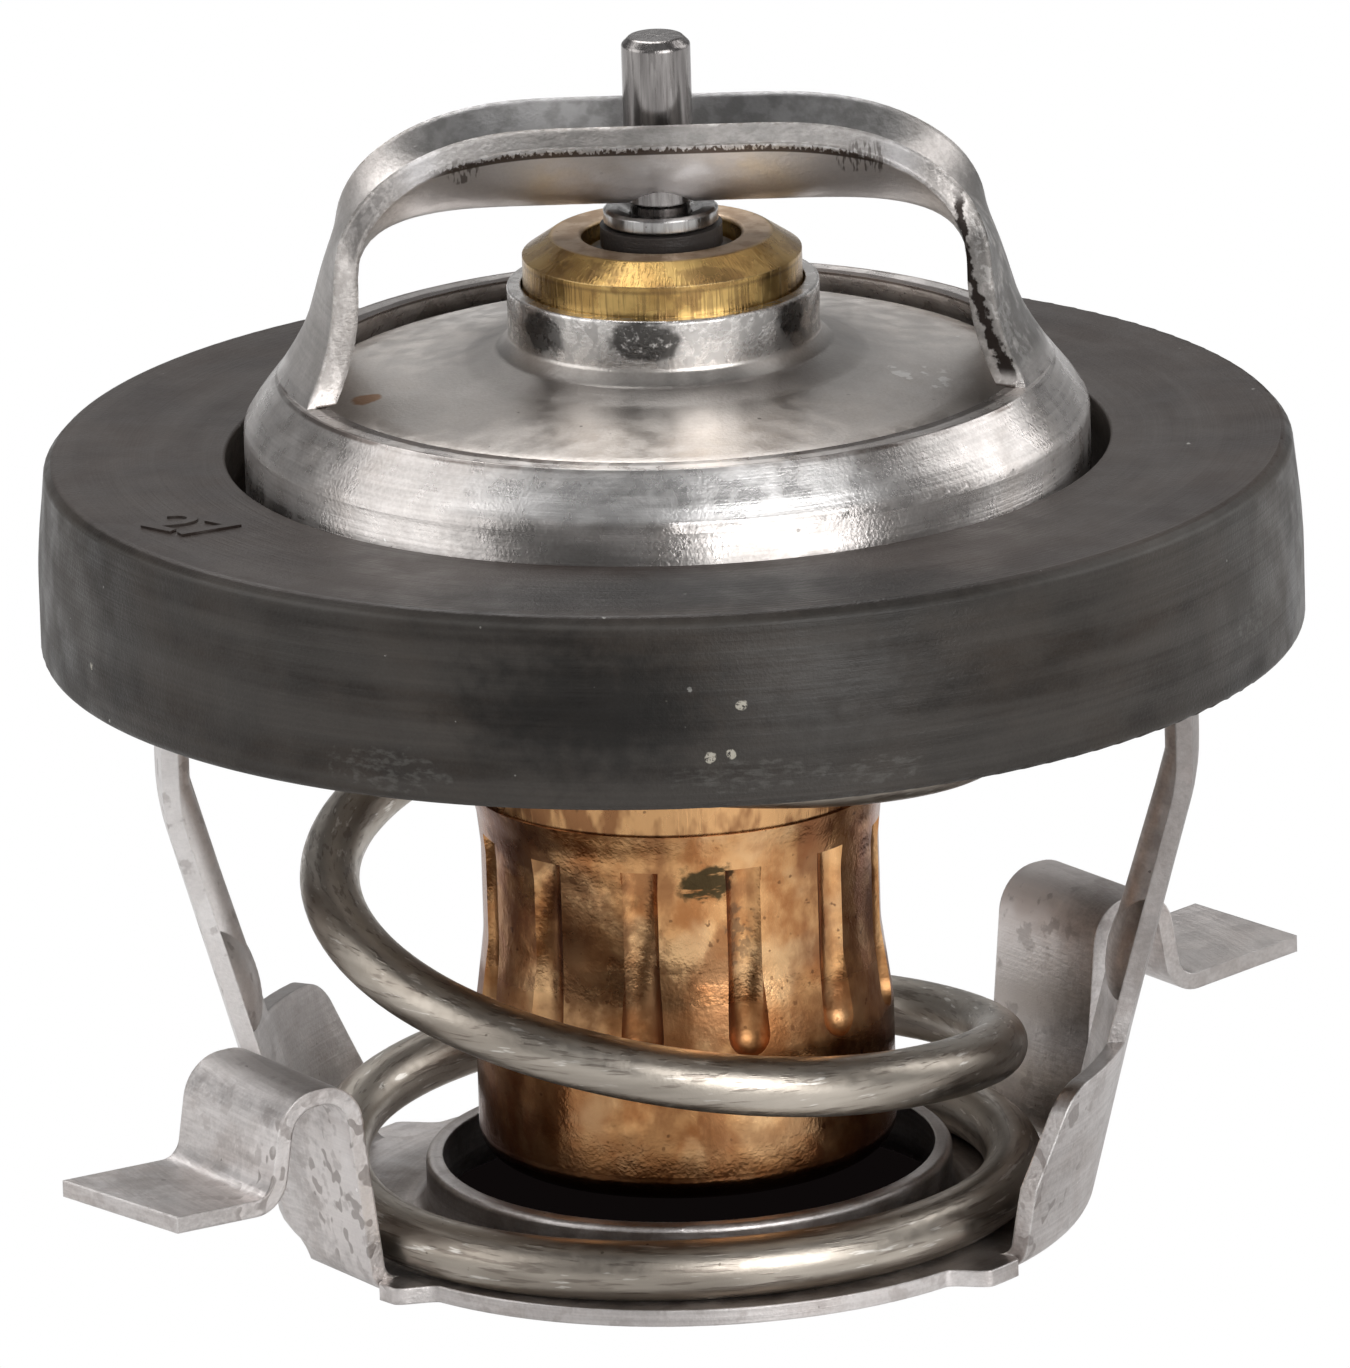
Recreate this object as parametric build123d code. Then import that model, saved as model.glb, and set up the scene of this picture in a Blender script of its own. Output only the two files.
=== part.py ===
"""Wax-pellet engine thermostat, 56 mm seal ring, drawn closed (cold)."""
import math
import os

from build123d import *

os.makedirs("parts", exist_ok=True)

# ---------------------------------------------------------------- driving sizes
# All lengths in mm. Z is the axis of the valve, z = 0 the underside of the base ring.
CLEAR_RUN = 0.05            # radial clearance of a sliding fit
CLEAR_SEAT = 0.03           # clearance between parts that only rest on each other

SEAL_TOP = 35.8             # height of the seal ring's top face
SEAL_BOTTOM = 27.24
SEAL_R_BOTTOM = 28.0
SEAL_TAPER = 0.38           # the side leans in by this much towards the top
SEAL_R_TOP = SEAL_R_BOTTOM - SEAL_TAPER
SEAL_R_INNER = 19.56        # bore of the upper lip
SEAL_OVER = 2.0             # rubber outside the flange's edge
SEAL_HOLD = 1.4             # how far the lower lip reaches in under the flange
SEAL_LIP_R = SEAL_R_BOTTOM - SEAL_OVER - SEAL_HOLD

FLANGE_T = 1.2              # sheet thickness of the bridge flange
FLANGE_Z = 30.9             # underside of its flat rim
FLANGE_R = SEAL_R_BOTTOM - SEAL_OVER
SKIRT_R = 18.7              # outside of the skirt wall
RIM_Z = 39.4                # top of the valve seat
RIM_R = 17.1                # outside of the seat edge
BRIDGE_Z = 48.0             # bottom of the bridge trough

CAGE_T = 0.75               # sheet thickness of the lower cage
BASE_R = 16.3
WING_R = 17.85
COLLAR_R_IN = 11.0
COLLAR_TOP = 3.1
STRAP_HALF = 4.25
STRAP_INSET = 3.2           # from the flange's edge to the middle of the strap's sheet
STRAP_R = FLANGE_R - STRAP_INSET
KNEE_Z = 9.0                # the leaning wall bends here, at this share of its way out
KNEE_SHARE = 0.4028169
KNEE_R = WING_R - CAGE_T / 2 + KNEE_SHARE * (STRAP_R - WING_R + CAGE_T / 2)
EAR_TOP = 8.65
EAR_END_DEG = 34.0          # the wall over the base ends here on the side of the ear
TAB_END_DEG = 36.8          # and here on the side of the tab
SHOULDER_DEG = 42.0         # the flat shoulder ends here and curves in
BASE_DEG = 47.0

PLATE_T = 0.7
PLATE_R = 16.85
PLATE_COLLAR_R = 6.9
PLATE_COLLAR_T = 0.6
PLATE_COLLAR_TOP = 43.2

CAP_R = PLATE_COLLAR_R - PLATE_COLLAR_T
CAP_TOP = 45.4
CUP_SEAM = 20.3
CUP_R_LOW = 9.32
CUP_R_WAIST = 8.84
CUP_BOTTOM = 3.3
CUP_T = 0.5
FLUTES = 12
FLUTE_R = 1.0
FLUTE_DEPTH = 0.42
FLUTE_FIRST_DEG = -102.0

PIN_R = 1.525
PISTON_R = 1.33
PIN_TOP = 54.35
PIN_BOTTOM = 7.5

WIRE_R = 1.33
COIL_R = 14.5
COIL_SWAY = 0.85            # the open coils stand this far off the axis, to the left


# ---------------------------------------------------------------- small helpers
def revolved(points, rounds=()):
    """Solid of revolution about Z from (r, z) points; rounds are (index, radius)."""
    face = make_face(Polyline(*[(r, 0, z) for r, z in points], close=True))
    for index, radius in rounds:
        r, z = points[index]
        corner = face.vertices().sort_by_distance((r, 0, z))[0]
        face = fillet(corner, radius)
    return revolve(face, Axis.Z, 360)


def offset_path(path, shift):
    """Polyline parallel to an open polyline, mitred, shifted to its left by shift."""
    out = []
    for i, (x, y) in enumerate(path):
        before = path[max(i - 1, 0)]
        after = path[min(i + 1, len(path) - 1)]
        if i == 0:
            before = (2 * x - after[0], 2 * y - after[1])
        if i == len(path) - 1:
            after = (2 * x - before[0], 2 * y - before[1])
        a1 = math.atan2(y - before[1], x - before[0])
        a2 = math.atan2(after[1] - y, after[0] - x)
        half = (a2 - a1) / 2
        length = shift / math.cos(half)
        angle = a1 + half + math.pi / 2
        out.append((x + length * math.cos(angle), y + length * math.sin(angle)))
    return out


def strip_face(path, bends, thickness):
    """Face in XZ of a bent strip: mid-line path, bend radius at each inner corner."""
    left = offset_path(path, thickness / 2)
    right = offset_path(path, -thickness / 2)
    outline = left + right[::-1]
    face = make_face(Polyline(*[(x, 0, z) for x, z in outline], close=True))
    for i, radius in enumerate(bends, start=1):
        (x0, z0), (x1, z1), (x2, z2) = path[i - 1], path[i], path[i + 1]
        turn = (x1 - x0) * (z2 - z1) - (z1 - z0) * (x2 - x1)
        inner = radius - thickness / 2
        outer = radius + thickness / 2
        pair = (left[i], inner if turn > 0 else outer), (right[i], outer if turn > 0 else inner)
        for (x, z), r in pair:
            corner = face.vertices().sort_by_distance((x, 0, z))[0]
            face = fillet(corner, r)
    return face


# ---------------------------------------------------------------- bridge flange
def skirt():
    """Flat rim, skirt wall and inward-turned valve seat, one drawn sheet."""
    t = FLANGE_T
    z_top = FLANGE_Z + t
    points = [
        (SKIRT_R, z_top), (FLANGE_R, z_top), (FLANGE_R, FLANGE_Z), (SKIRT_R - t, FLANGE_Z),
        (SKIRT_R - t, RIM_Z - 2.7), (RIM_R - 0.75, RIM_Z - 0.8), (RIM_R - t, RIM_Z), (RIM_R, RIM_Z),
        (RIM_R + 1.05, RIM_Z - 1.35), (SKIRT_R, RIM_Z - 2.2),
    ]
    rounds = ((0, 0.7), (3, 1.4), (4, 2.0), (5, 1.2), (8, 0.9), (9, 0.9))
    return revolved(points, rounds)


# Stations of one arm from the middle of the bridge down to the skirt. Each gives the
# trough bottom (x, z), the tilt of the outward normal from +Z in degrees, the half
# width, the rise of the edges along the normal and how sharp the trough bottom is.
ARM = [
    (0.0, 48.0, 0, 2.62, 2.95, 0.55),
    (3.5, 48.0, 0, 2.62, 2.95, 0.55),
    (6.8, 48.0, 0, 2.65, 2.85, 0.6),
    (9.4, 47.9, 7, 2.8, 2.35, 0.8),
    (11.5, 47.55, 17, 3.1, 1.6, 1.5),
    (13.1, 46.9, 32, 3.5, 0.8, 3.0),
    (14.2, 45.9, 52, 3.9, 0.1, 4.0),
    (14.85, 44.7, 66, 4.3, -0.45, 4.0),
    (15.25, 43.5, 73, 4.6, -0.75, 4.0),
    (15.6, 42.3, 72, 4.9, -0.9, 4.0),
    (16.2, 40.95, 62, 5.4, -1.05, 4.0),
    (17.0, 39.7, 56, 6.1, -1.25, 4.0),
    (17.7, 38.65, 55, 6.6, -1.35, 4.0),
]


def arm_section(x, z, tilt, half, rise, sharp):
    """Closed section of the arm sheet in its own plane."""
    n = Vector(math.sin(math.radians(tilt)), 0, math.cos(math.radians(tilt)))
    base = Vector(x, 0, z)
    reach = math.sqrt(half * half + sharp * sharp) - sharp

    def lift(a):
        return rise * (math.sqrt(a * a + sharp * sharp) - sharp) / reach

    def slope(a):
        return rise * a / math.sqrt(a * a + sharp * sharp) / reach

    steps = [-1, -0.75, -0.5, -0.25, 0, 0.25, 0.5, 0.75, 1]
    outer = []
    inner = []
    for s in steps:
        a = s * half
        k = slope(a)
        size = math.sqrt(1 + k * k)
        outer.append(base + n * lift(a) + Vector(0, a, 0))
        inner.append(base + n * (lift(a) - FLANGE_T / size) + Vector(0, a + FLANGE_T * k / size, 0))
    top = Spline(*outer)
    bottom = Spline(*inner[::-1])
    return Wire([top, Line(outer[-1], inner[-1]), bottom, Line(inner[0], outer[0])])


def arch():
    """Bridge in one sweep: leg, bend, trough over the pin, bend and leg."""
    left = [(-x, z, -tilt, half, rise, sharp) for x, z, tilt, half, rise, sharp in ARM[1:]]
    return Solid.make_loft([arm_section(*station) for station in left[::-1] + ARM])


def bridge_flange():
    # the legs only grow out of the skirt: nothing of them lies inside or outside it
    envelope = revolved([(0, RIM_Z), (RIM_R - FLANGE_T, RIM_Z), (16.35, 38.6), (16.6, 38.3),
                         (19.2, 38.3), (19.2, 36.0), (24, 36.0), (24, 60), (0, 60)])
    outside = revolved([(RIM_R + 0.02, RIM_Z), (18.17, 38.07), (18.72, 37.2), (18.72, 35),
                        (24, 35), (24, RIM_Z + 1.2)])
    legs = arch() & envelope
    legs = legs - outside
    body = skirt() + legs
    mid = FLANGE_Z + FLANGE_T / 2
    ring = (Pos(0, 0, mid) * Cylinder(STRAP_R + CAGE_T / 2 + CLEAR_SEAT, 4)
            - Pos(0, 0, mid) * Cylinder(STRAP_R - CAGE_T / 2 - CLEAR_SEAT, 5))
    slots = ring & (Pos(0, 0, mid) * Box(60, STRAP_HALF * 1.2 + 2 * CLEAR_SEAT, 3))
    hole = Pos(0, 0, BRIDGE_Z) * Cylinder(PIN_R, 8)
    return body - slots - hole


# ---------------------------------------------------------------- lower cage
WALL_PATH = [(WING_R - 3.05, CAGE_T / 2), (WING_R - CAGE_T / 2, CAGE_T / 2), (KNEE_R, KNEE_Z),
             (STRAP_R, 20.6), (STRAP_R, FLANGE_Z + FLANGE_T)]
WALL_BENDS = (1.1, 25.0, 9.0)


def wall_shell():
    """Leaning wall all the way round, from which the straps and ears are trimmed."""
    return revolve(strip_face(WALL_PATH, WALL_BENDS, CAGE_T), Axis.Z, 360)


def strap(shell):
    """Right-hand strap with a pressed stiffening bead."""
    inner = WING_R - 2.85
    outer = STRAP_R + 2.2
    blank = Pos((inner + outer) / 2, 0, 16.0) * Box(outer - inner, 2 * STRAP_HALF, 40.0)
    upper = Pos(20.0, 0, FLANGE_Z + 5) * Box(20.0, 20.0, 10.0)
    tongue = Pos(20.0, 0, FLANGE_Z + 5) * Box(20.0, STRAP_HALF * 1.2, 10.0)
    body = (shell & blank) - (upper - tongue)
    points = [(KNEE_R + 0.53, 0.5, 11.8), (STRAP_R, 0.1, 20.6), (STRAP_R, 0, 29.0)]
    ridge = bead_solid(points, 1.15, (1.2, 3.0, 2.7))
    groove = bead_solid(points, 0.55, (0.6, 2.3, 2.0))
    outside = revolve(strip_face([(x + 6.0, z) for x, z in WALL_PATH[1:]],
                                 WALL_BENDS[1:], 12.0), Axis.Z, 360)
    return (body + (ridge - outside)) - groove


def bead_solid(points, radius, end_size):
    """Round bar along a polyline, spread out to a flat oval at its lower end."""
    oval = scale(Sphere(1.0), by=end_size)
    lean = math.degrees(math.atan2(points[1][0] - points[0][0], points[1][2] - points[0][2]))
    bar = Pos(*points[0]) * (Rot(0, lean, 0) * oval)
    for a, b in zip(points, points[1:]):
        a = Vector(*a)
        b = Vector(*b)
        plane = Plane(origin=a, z_dir=(b - a).normalized())
        bar = bar + extrude(plane * Circle(radius), (b - a).length)
        bar = bar + Pos(*b) * Sphere(radius)
    return bar


def ear(shell):
    """Short upturned ear next to the strap, outer top corner rounded."""
    plane = Plane(origin=(0, 0, 0), x_dir=(0.42, 0.907, 0), z_dir=(0.907, -0.42, 0))
    face = make_face(Polyline((-3.0, 0.1), (6.0, 0.1), (6.0, EAR_TOP + 0.1), (-2.0, EAR_TOP - 0.3),
                              (-3.5, EAR_TOP - 4.6), close=True))
    corner = face.vertices().sort_by_distance((-2.0, EAR_TOP - 0.3, 0))[0]
    face = fillet(corner, 1.9)
    window = extrude(plane * face, 30)
    lower = Pos(20.0, -STRAP_HALF - 10, 10) * Box(30, 20, 30)
    return shell & window & lower


def tab(round_foot, normal_deg, lift, s_from, s_to, reach, tip, skew):
    """Spring tab: leg, arch and outward foot, bent about lines square to its normal."""
    path = [(WING_R - 1.85, CAGE_T / 2), (WING_R - 0.4, CAGE_T / 2), (WING_R + 0.5, 7.3 + lift),
            (WING_R + 0.75, 9.8 + lift), (WING_R + 4.1, 9.8 + lift), (WING_R + 4.85, 5.35 + lift),
            (SEAL_R_BOTTOM + 2.6, 5.35 + tip + lift)]
    bends = (1.1, 6.0, 1.67, 1.67, 1.3)
    face = strip_face(path, bends, CAGE_T)
    plate = Pos(0, -s_from, 0) * extrude(face, amount=(s_to - s_from), dir=(0, -1, 0))
    cut = Pos(reach + 4.5, -(s_from + s_to) / 2, 8 + lift) * (Rot(0, 0, skew) * Box(9.0, 20, 10))
    return (Rot(0, 0, normal_deg) * (plate - cut)) & round_foot


def foot_envelope():
    """The blank was cut round: low down, a flat tab may not reach past this outline."""
    outline = [(-0.25, -1), (0.07, 0.2), (0.15, 0.7), (0.25, 1.0), (0.5, 1.25), (0.8, 1.7),
               (1.0, 2.2), (1.12, 2.8), (1.45, 3.6)]
    far = SEAL_R_BOTTOM + 4.0
    edge = [(WING_R + out, z) for out, z in outline]
    return revolved([(0, -1)] + edge + [(far, 3.8), (far, 40), (0, 40)])


def polar(r, deg):
    return (r * math.cos(math.radians(deg)), r * math.sin(math.radians(deg)), 0)


def s_curve(r_from, deg_from, r_to, deg_to):
    """Smooth step between two radii, running round the axis at both ends."""
    ends = [Vector(0, 1, 0).rotate(Axis.Z, deg) for deg in (deg_from, deg_to)]
    return Spline(polar(r_from, deg_from), polar(r_to, deg_to), tangents=ends)


def base_plan():
    """Outline of the flat ring: two shoulders each side that run out in S-curves."""
    ear_side = wing_edge(EAR_END_DEG)
    tab_side = wing_edge(TAB_END_DEG)
    half = tab_side + [mirror(edge, about=Plane.XZ) for edge in ear_side]
    return make_face(half + [edge.rotate(Axis.Z, 180) for edge in half])


def wing_edge(wall_deg):
    """Quarter outline: under the wall, out to the shoulder, and in to the ring."""
    in_wall = WING_R - 0.95
    out_deg = wall_deg + 2.5
    return [
        ThreePointArc(polar(in_wall, 0), polar(in_wall, 17), polar(in_wall, wall_deg)),
        s_curve(in_wall, wall_deg, WING_R, out_deg),
        ThreePointArc(polar(WING_R, out_deg), polar(WING_R, SHOULDER_DEG - 1), polar(WING_R, SHOULDER_DEG)),
        s_curve(WING_R, SHOULDER_DEG, BASE_R, BASE_DEG),
        ThreePointArc(polar(BASE_R, BASE_DEG), polar(BASE_R, 70), polar(BASE_R, 90)),
    ]


def base_ring():
    collar = revolved([(COLLAR_R_IN, 0.0), (COLLAR_R_IN + 3.0, 0.0), (COLLAR_R_IN + 3.0, CAGE_T),
                       (COLLAR_R_IN + CAGE_T, CAGE_T), (COLLAR_R_IN + CAGE_T, COLLAR_TOP),
                       (COLLAR_R_IN, COLLAR_TOP)],
                      ((0, 1.5), (3, 0.75), (4, 0.3)))
    hole = Cylinder(COLLAR_R_IN + 2.0, 10)
    return extrude(base_plan(), CAGE_T) - hole + collar


def lower_cage():
    shell = wall_shell()
    right = strap(shell) + ear(shell)
    left = Rot(0, 0, 180) * right
    round_foot = foot_envelope()
    front_left = tab(round_foot, 214.0, 0.0, -1.2, 6.4, SEAL_R_BOTTOM + 0.55, 0.2, 8.0)
    back_right = tab(round_foot, 36.0, 1.85, -0.6, 6.4, SEAL_R_BOTTOM + 1.4, 0.75, 3.0)
    cage = base_ring() + right + left + front_left + back_right
    relief = scale(Cylinder(1.0, 1.0), by=(1.25, 3.3, 3.4))
    reliefs = [Rot(0, 0, deg) * (Pos(WING_R + 1.05, 0, 0) * (Rot(0, 90, 0) * relief)) for deg in (9.0, 189.0)]
    return cage - reliefs


# ---------------------------------------------------------------- seal ring
def rubber_seal():
    z_top = FLANGE_Z + FLANGE_T
    points = [
        (SEAL_R_INNER, SEAL_TOP), (SEAL_R_INNER, z_top + CLEAR_SEAT),
        (FLANGE_R + CLEAR_SEAT, z_top + CLEAR_SEAT), (FLANGE_R + CLEAR_SEAT, FLANGE_Z - CLEAR_SEAT),
        (SEAL_LIP_R, FLANGE_Z - CLEAR_SEAT), (SEAL_LIP_R, SEAL_BOTTOM),
        (SEAL_R_BOTTOM, SEAL_BOTTOM), (SEAL_R_BOTTOM, SEAL_TOP - 4.2), (SEAL_R_TOP, SEAL_TOP - 0.45),
        (SEAL_R_TOP - 0.4, SEAL_TOP),
    ]
    return revolved(points, ((5, 0.3), (6, 0.35), (7, 25.0), (8, 0.3), (9, 0.3), (0, 0.15)))


# ---------------------------------------------------------------- valve body
def valve_plate():
    """Domed valve disc with its upturned collar."""
    t = PLATE_T
    points = [
        (PLATE_COLLAR_R, PLATE_COLLAR_TOP), (PLATE_COLLAR_R, 40.95), (7.45, 40.35), (8.9, 39.85),
        (14.3, 39.0), (15.9, 38.45), (PLATE_R, 37.75), (PLATE_R, 37.0), (15.7, 37.6), (14.1, 38.2),
        (8.8, 39.05), (7.3, 39.4), (6.9, 39.5), (CAP_R, 39.7), (CAP_R, PLATE_COLLAR_TOP),
    ]
    rounds = ((1, 0.25), (2, 0.4), (3, 1.5), (4, 4.0), (5, 2.0), (6, 0.3), (0, 0.12))
    return revolved(points, rounds)


def guide_cap():
    """Brass guide: cap above the plate, shoulder under it, spigot inside the cup."""
    z_under = 39.7 - CLEAR_SEAT
    points = [
        (PISTON_R + CLEAR_RUN, 44.2), (3.53, 44.2), (3.53, CAP_TOP), (4.92, CAP_TOP),
        (CAP_R - 0.12, 44.55), (CAP_R - 0.12, PLATE_COLLAR_TOP), (CAP_R, PLATE_COLLAR_TOP - 0.4),
        (CAP_R, z_under), (8.6, 38.9), (10.6, 38.2), (10.6, 34.0), (10.0, 32.5), (10.0, 24.6),
        (9.42, 21.8), (9.16, CUP_SEAM), (8.24, CUP_SEAM), (8.24, 17.0), (PISTON_R + CLEAR_RUN, 17.0),
    ]
    return revolved(points, ((2, 0.2), (3, 0.2), (13, 2.5), (12, 2.0)))


def copper_cup():
    """Fluted copper cup, swaged on to the guide's spigot."""
    bore = CUP_R_WAIST - CUP_T - 0.1
    outer = [(9.3, CUP_SEAM), (9.0, 19.2), (CUP_R_WAIST, 17.6), (CUP_R_WAIST, 13.6),
             (CUP_R_LOW, 9.9), (CUP_R_LOW, CUP_BOTTOM), (0, CUP_BOTTOM)]
    inner = [(0, CUP_BOTTOM + CUP_T), (CUP_R_LOW - CUP_T, CUP_BOTTOM + CUP_T),
             (CUP_R_LOW - CUP_T, 8.6), (bore, 9.6), (bore, CUP_SEAM)]
    body = revolved(outer + inner, ((1, 3.0), (2, 3.0), (3, 4.0), (4, 4.0), (5, 1.3), (8, 0.7)))
    cutters = []
    for i in range(FLUTES):
        angle = FLUTE_FIRST_DEG + i * 360 / FLUTES
        r = CUP_R_WAIST + FLUTE_R - FLUTE_DEPTH
        bar = Cylinder(FLUTE_R, 7.6) + Pos(0, 0, -3.8) * Sphere(FLUTE_R)
        cutters.append(Rot(0, 0, angle) * (Pos(r, 0, 14.75) * bar))
    return body - cutters


def wax_charge():
    points = [(2.55, 16.9), (8.15, 16.9), (8.15, 9.5), (8.7, 8.5), (8.7, 4.6), (8.0, 3.9),
              (0, 3.9), (0, 6.3), (2.55, 6.3)]
    return revolved(points)


def squeeze_boot():
    """Rubber sleeve that the wax squeezes along the piston."""
    r = PISTON_R + CLEAR_RUN
    points = [(r, 16.9), (2.45, 16.9), (2.45, 6.4), (0, 6.4), (0, 7.4), (r, 7.4)]
    return revolved(points)


def washer():
    r = PISTON_R + CLEAR_RUN
    return revolved([(r, 45.85), (2.4, 45.85), (2.54, 45.99), (2.54, 46.5), (2.4, 46.62),
                     (1.9, 46.62), (r, 46.3)])


def wiper():
    r = PISTON_R + CLEAR_RUN
    return revolved([(r, 44.22), (3.3, 44.22), (3.3, 44.6), (2.7, 44.9), (2.7, 45.82), (r, 45.82)])


# ---------------------------------------------------------------- pin and spring
def piston_pin():
    points = [(0, PIN_BOTTOM), (PISTON_R - 0.3, PIN_BOTTOM), (PISTON_R, PIN_BOTTOM + 0.3),
              (PISTON_R, 46.75), (PIN_R, 46.95), (PIN_R, PIN_TOP - 0.35),
              (PIN_R - 0.35, PIN_TOP), (0, PIN_TOP)]
    return revolved(points, ((5, 0.2), (6, 0.2)))


# Coil centre line: turn angle in degrees counter-clockwise from +X, height of the wire.
COIL = [
    (780, 2.08), (740, 2.08), (700, 2.08), (660, 2.08), (625, 2.08), (595, 2.1), (565, 2.4),
    (540, 3.15), (515, 3.9), (490, 4.4), (440, 5.4), (400, 6.15), (380, 6.7), (360, 7.5),
    (330, 8.75), (300, 9.75), (270, 11.05), (225, 13.5), (180, 16.15), (140, 18.2),
    (100, 19.9), (50, 21.2), (0, 22.2), (-40, 23.3), (-90, 25.0), (-140, 26.9),
    (-190, 28.9), (-240, 30.9), (-290, 32.8), (-330, 34.2), (-370, 35.2), (-410, 36.0),
    (-450, 36.4), (-490, 36.43), (-540, 36.43), (-600, 36.43), (-660, 36.43),
]


def coil_point(angle, z):
    """Point of the wire's centre line; the open coils sway towards -X."""
    a = math.radians(angle)
    fade = min(1.0, max(0.0, (angle + 420) / 240)) * min(1.0, max(0.0, (690 - angle) / 100))
    r = COIL_R + 0.25 * fade
    return (r * math.cos(a) - COIL_SWAY * fade, r * math.sin(a), z)


def main_spring():
    path = Spline(*[coil_point(angle, z) for angle, z in COIL])
    start = Plane(origin=path @ 0, z_dir=path % 0)
    return sweep(start * Circle(WIRE_R), path=path, is_frenet=False)


PARTS = {
    "bridge_flange": bridge_flange,
    "lower_cage": lower_cage,
    "rubber_seal": rubber_seal,
    "valve_plate": valve_plate,
    "guide_cap": guide_cap,
    "copper_cup": copper_cup,
    "wax_charge": wax_charge,
    "squeeze_boot": squeeze_boot,
    "washer": washer,
    "wiper_seal": wiper,
    "piston_pin": piston_pin,
    "main_spring": main_spring,
}

for name, maker in PARTS.items():
    shape = maker()
    if isinstance(shape, list) and len(shape) == 1:
        shape = shape[0]
    export_step(shape, f"parts/{name}.step")
    print(name, "solids", len(shape.solids()), "volume", round(shape.volume, 1), flush=True)
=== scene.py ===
# %% [markdown]
# # An engine thermostat
# A thermostat is a valve that a lump of wax opens when the coolant gets hot.
# Its drawn sheet, turned brass, copper cup, wire spring and rubber ring each have a finish of their own.
# The solids come ready made and stay where they are, so this lesson is about materials and light.
# Two pieces are added: a merged copy of the spring, and a small number raised on the rubber.

# %% Load the solids
import math

import bmesh
import bpy
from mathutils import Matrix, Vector


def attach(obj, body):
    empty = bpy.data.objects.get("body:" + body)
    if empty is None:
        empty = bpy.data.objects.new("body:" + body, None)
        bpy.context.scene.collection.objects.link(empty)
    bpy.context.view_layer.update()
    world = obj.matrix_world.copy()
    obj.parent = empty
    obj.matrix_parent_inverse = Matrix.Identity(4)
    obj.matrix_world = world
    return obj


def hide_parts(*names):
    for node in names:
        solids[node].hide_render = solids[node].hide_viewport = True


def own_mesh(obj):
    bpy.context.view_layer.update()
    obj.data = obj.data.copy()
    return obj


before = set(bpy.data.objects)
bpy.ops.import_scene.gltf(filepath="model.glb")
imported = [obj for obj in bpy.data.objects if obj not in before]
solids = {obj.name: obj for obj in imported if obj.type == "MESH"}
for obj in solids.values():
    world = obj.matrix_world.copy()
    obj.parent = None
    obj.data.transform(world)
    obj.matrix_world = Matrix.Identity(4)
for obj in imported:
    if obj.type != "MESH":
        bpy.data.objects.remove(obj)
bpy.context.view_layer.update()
print("solids:", sorted(solids))

# %% [markdown]
# ## Heights
# A mark such as the stain under the collar belongs at a height on its piece.
# Heights could be typed in, but measured ones stay right if a solid is remade at another size.

# %% Heights of the solids
def foot_and_top(name):
    """Lowest and highest place of a solid, in millimetres."""
    heights = [1000.0 * corner[2] for corner in solids[name].bound_box]
    return min(heights), max(heights)


RING_TOP = foot_and_top("rubber_seal")[1]
GUIDE_TOP = foot_and_top("guide_cap")[1]
COLLAR_TOP = foot_and_top("valve_plate")[1]
CUP_FOOT = foot_and_top("copper_cup")[0]
print("mm: ring top %.2f, guide top %.2f, collar top %.2f, cup foot %.2f"
      % (RING_TOP, GUIDE_TOP, COLLAR_TOP, CUP_FOOT))

# %% [markdown]
# ## Camera
# A small object looks true to its shape when it is seen from far off through a long lens.
# A near camera would make the front of the ring look much bigger than its back.
# The camera looks down by about sixteen degrees and is rolled by just under two.

# %% Camera
LENS = 555.95
SENSOR = 36.0
FARTHEST = 20.0
CAMERA_PLACE = (0.0, -0.8973, 0.2926)
CAMERA_TURN = (math.radians(73.37), 0.0, math.radians(-1.74))

camera_data = bpy.data.cameras.new("camera")
camera = bpy.data.objects.new("camera", camera_data)
bpy.context.scene.collection.objects.link(camera)
camera.location = CAMERA_PLACE
camera.rotation_mode = "ZYX"
camera.rotation_euler = CAMERA_TURN
camera_data.sensor_width = SENSOR
camera_data.lens = LENS
camera_data.clip_end = FARTHEST
bpy.context.scene.camera = camera
print("camera: %.0f mm lens, %.2f m away" % (LENS, Vector(CAMERA_PLACE).length))

# %% [markdown]
# ## Light
# Polished sheet is a mirror, so it shows the lamps themselves.
# Each lamp is therefore a soft box, a lit rectangle with a size and a brightness, and never a bare point.
# Azimuth 0 is the camera's side, and positive angles are to its right.
# The biggest box stands on the right, a second hangs over the back, and weak ones fill the left.

# %% Soft boxes
STUDIO_MIDDLE = Vector((0.0, 0.0, 0.028))
SOFT_BOXES = {
    # name: azimuth, elevation, width, height, brightness
    "key_right": (30, 19, 0.74, 0.74, 4.2),
    "top_back": (-160, 62, 0.62, 0.74, 4.2),
    "rim_right": (112, 30, 0.50, 0.80, 1.9),
    "fill_left": (-76, 22, 0.95, 0.85, 1.55),
    "back_left": (-125, 50, 0.45, 0.45, 1.4),
    "back_low": (178, 22, 1.10, 0.34, 0.3),
}


def soft_box(name, azimuth, elevation, width, height, brightness):
    """Rectangular lamp one metre from the object, facing it."""
    turn, rise = math.radians(azimuth), math.radians(elevation)
    away = Vector((math.sin(turn) * math.cos(rise), -math.cos(turn) * math.cos(rise), math.sin(rise)))
    data = bpy.data.lights.new(name, "AREA")
    data.shape = "RECTANGLE"
    data.size = width
    data.size_y = height
    data.energy = math.pi * width * height * brightness
    lamp = bpy.data.objects.new(name, data)
    bpy.context.scene.collection.objects.link(lamp)
    lamp.location = STUDIO_MIDDLE + away
    lamp.rotation_euler = (-away).to_track_quat("-Z", "Y").to_euler()
    return lamp


for name, settings in SOFT_BOXES.items():
    lamp = soft_box(name, *settings)
    print("lamp %s: %.2f watts" % (name, lamp.data.energy))

bpy.context.scene.view_settings.view_transform = "Standard"

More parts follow.
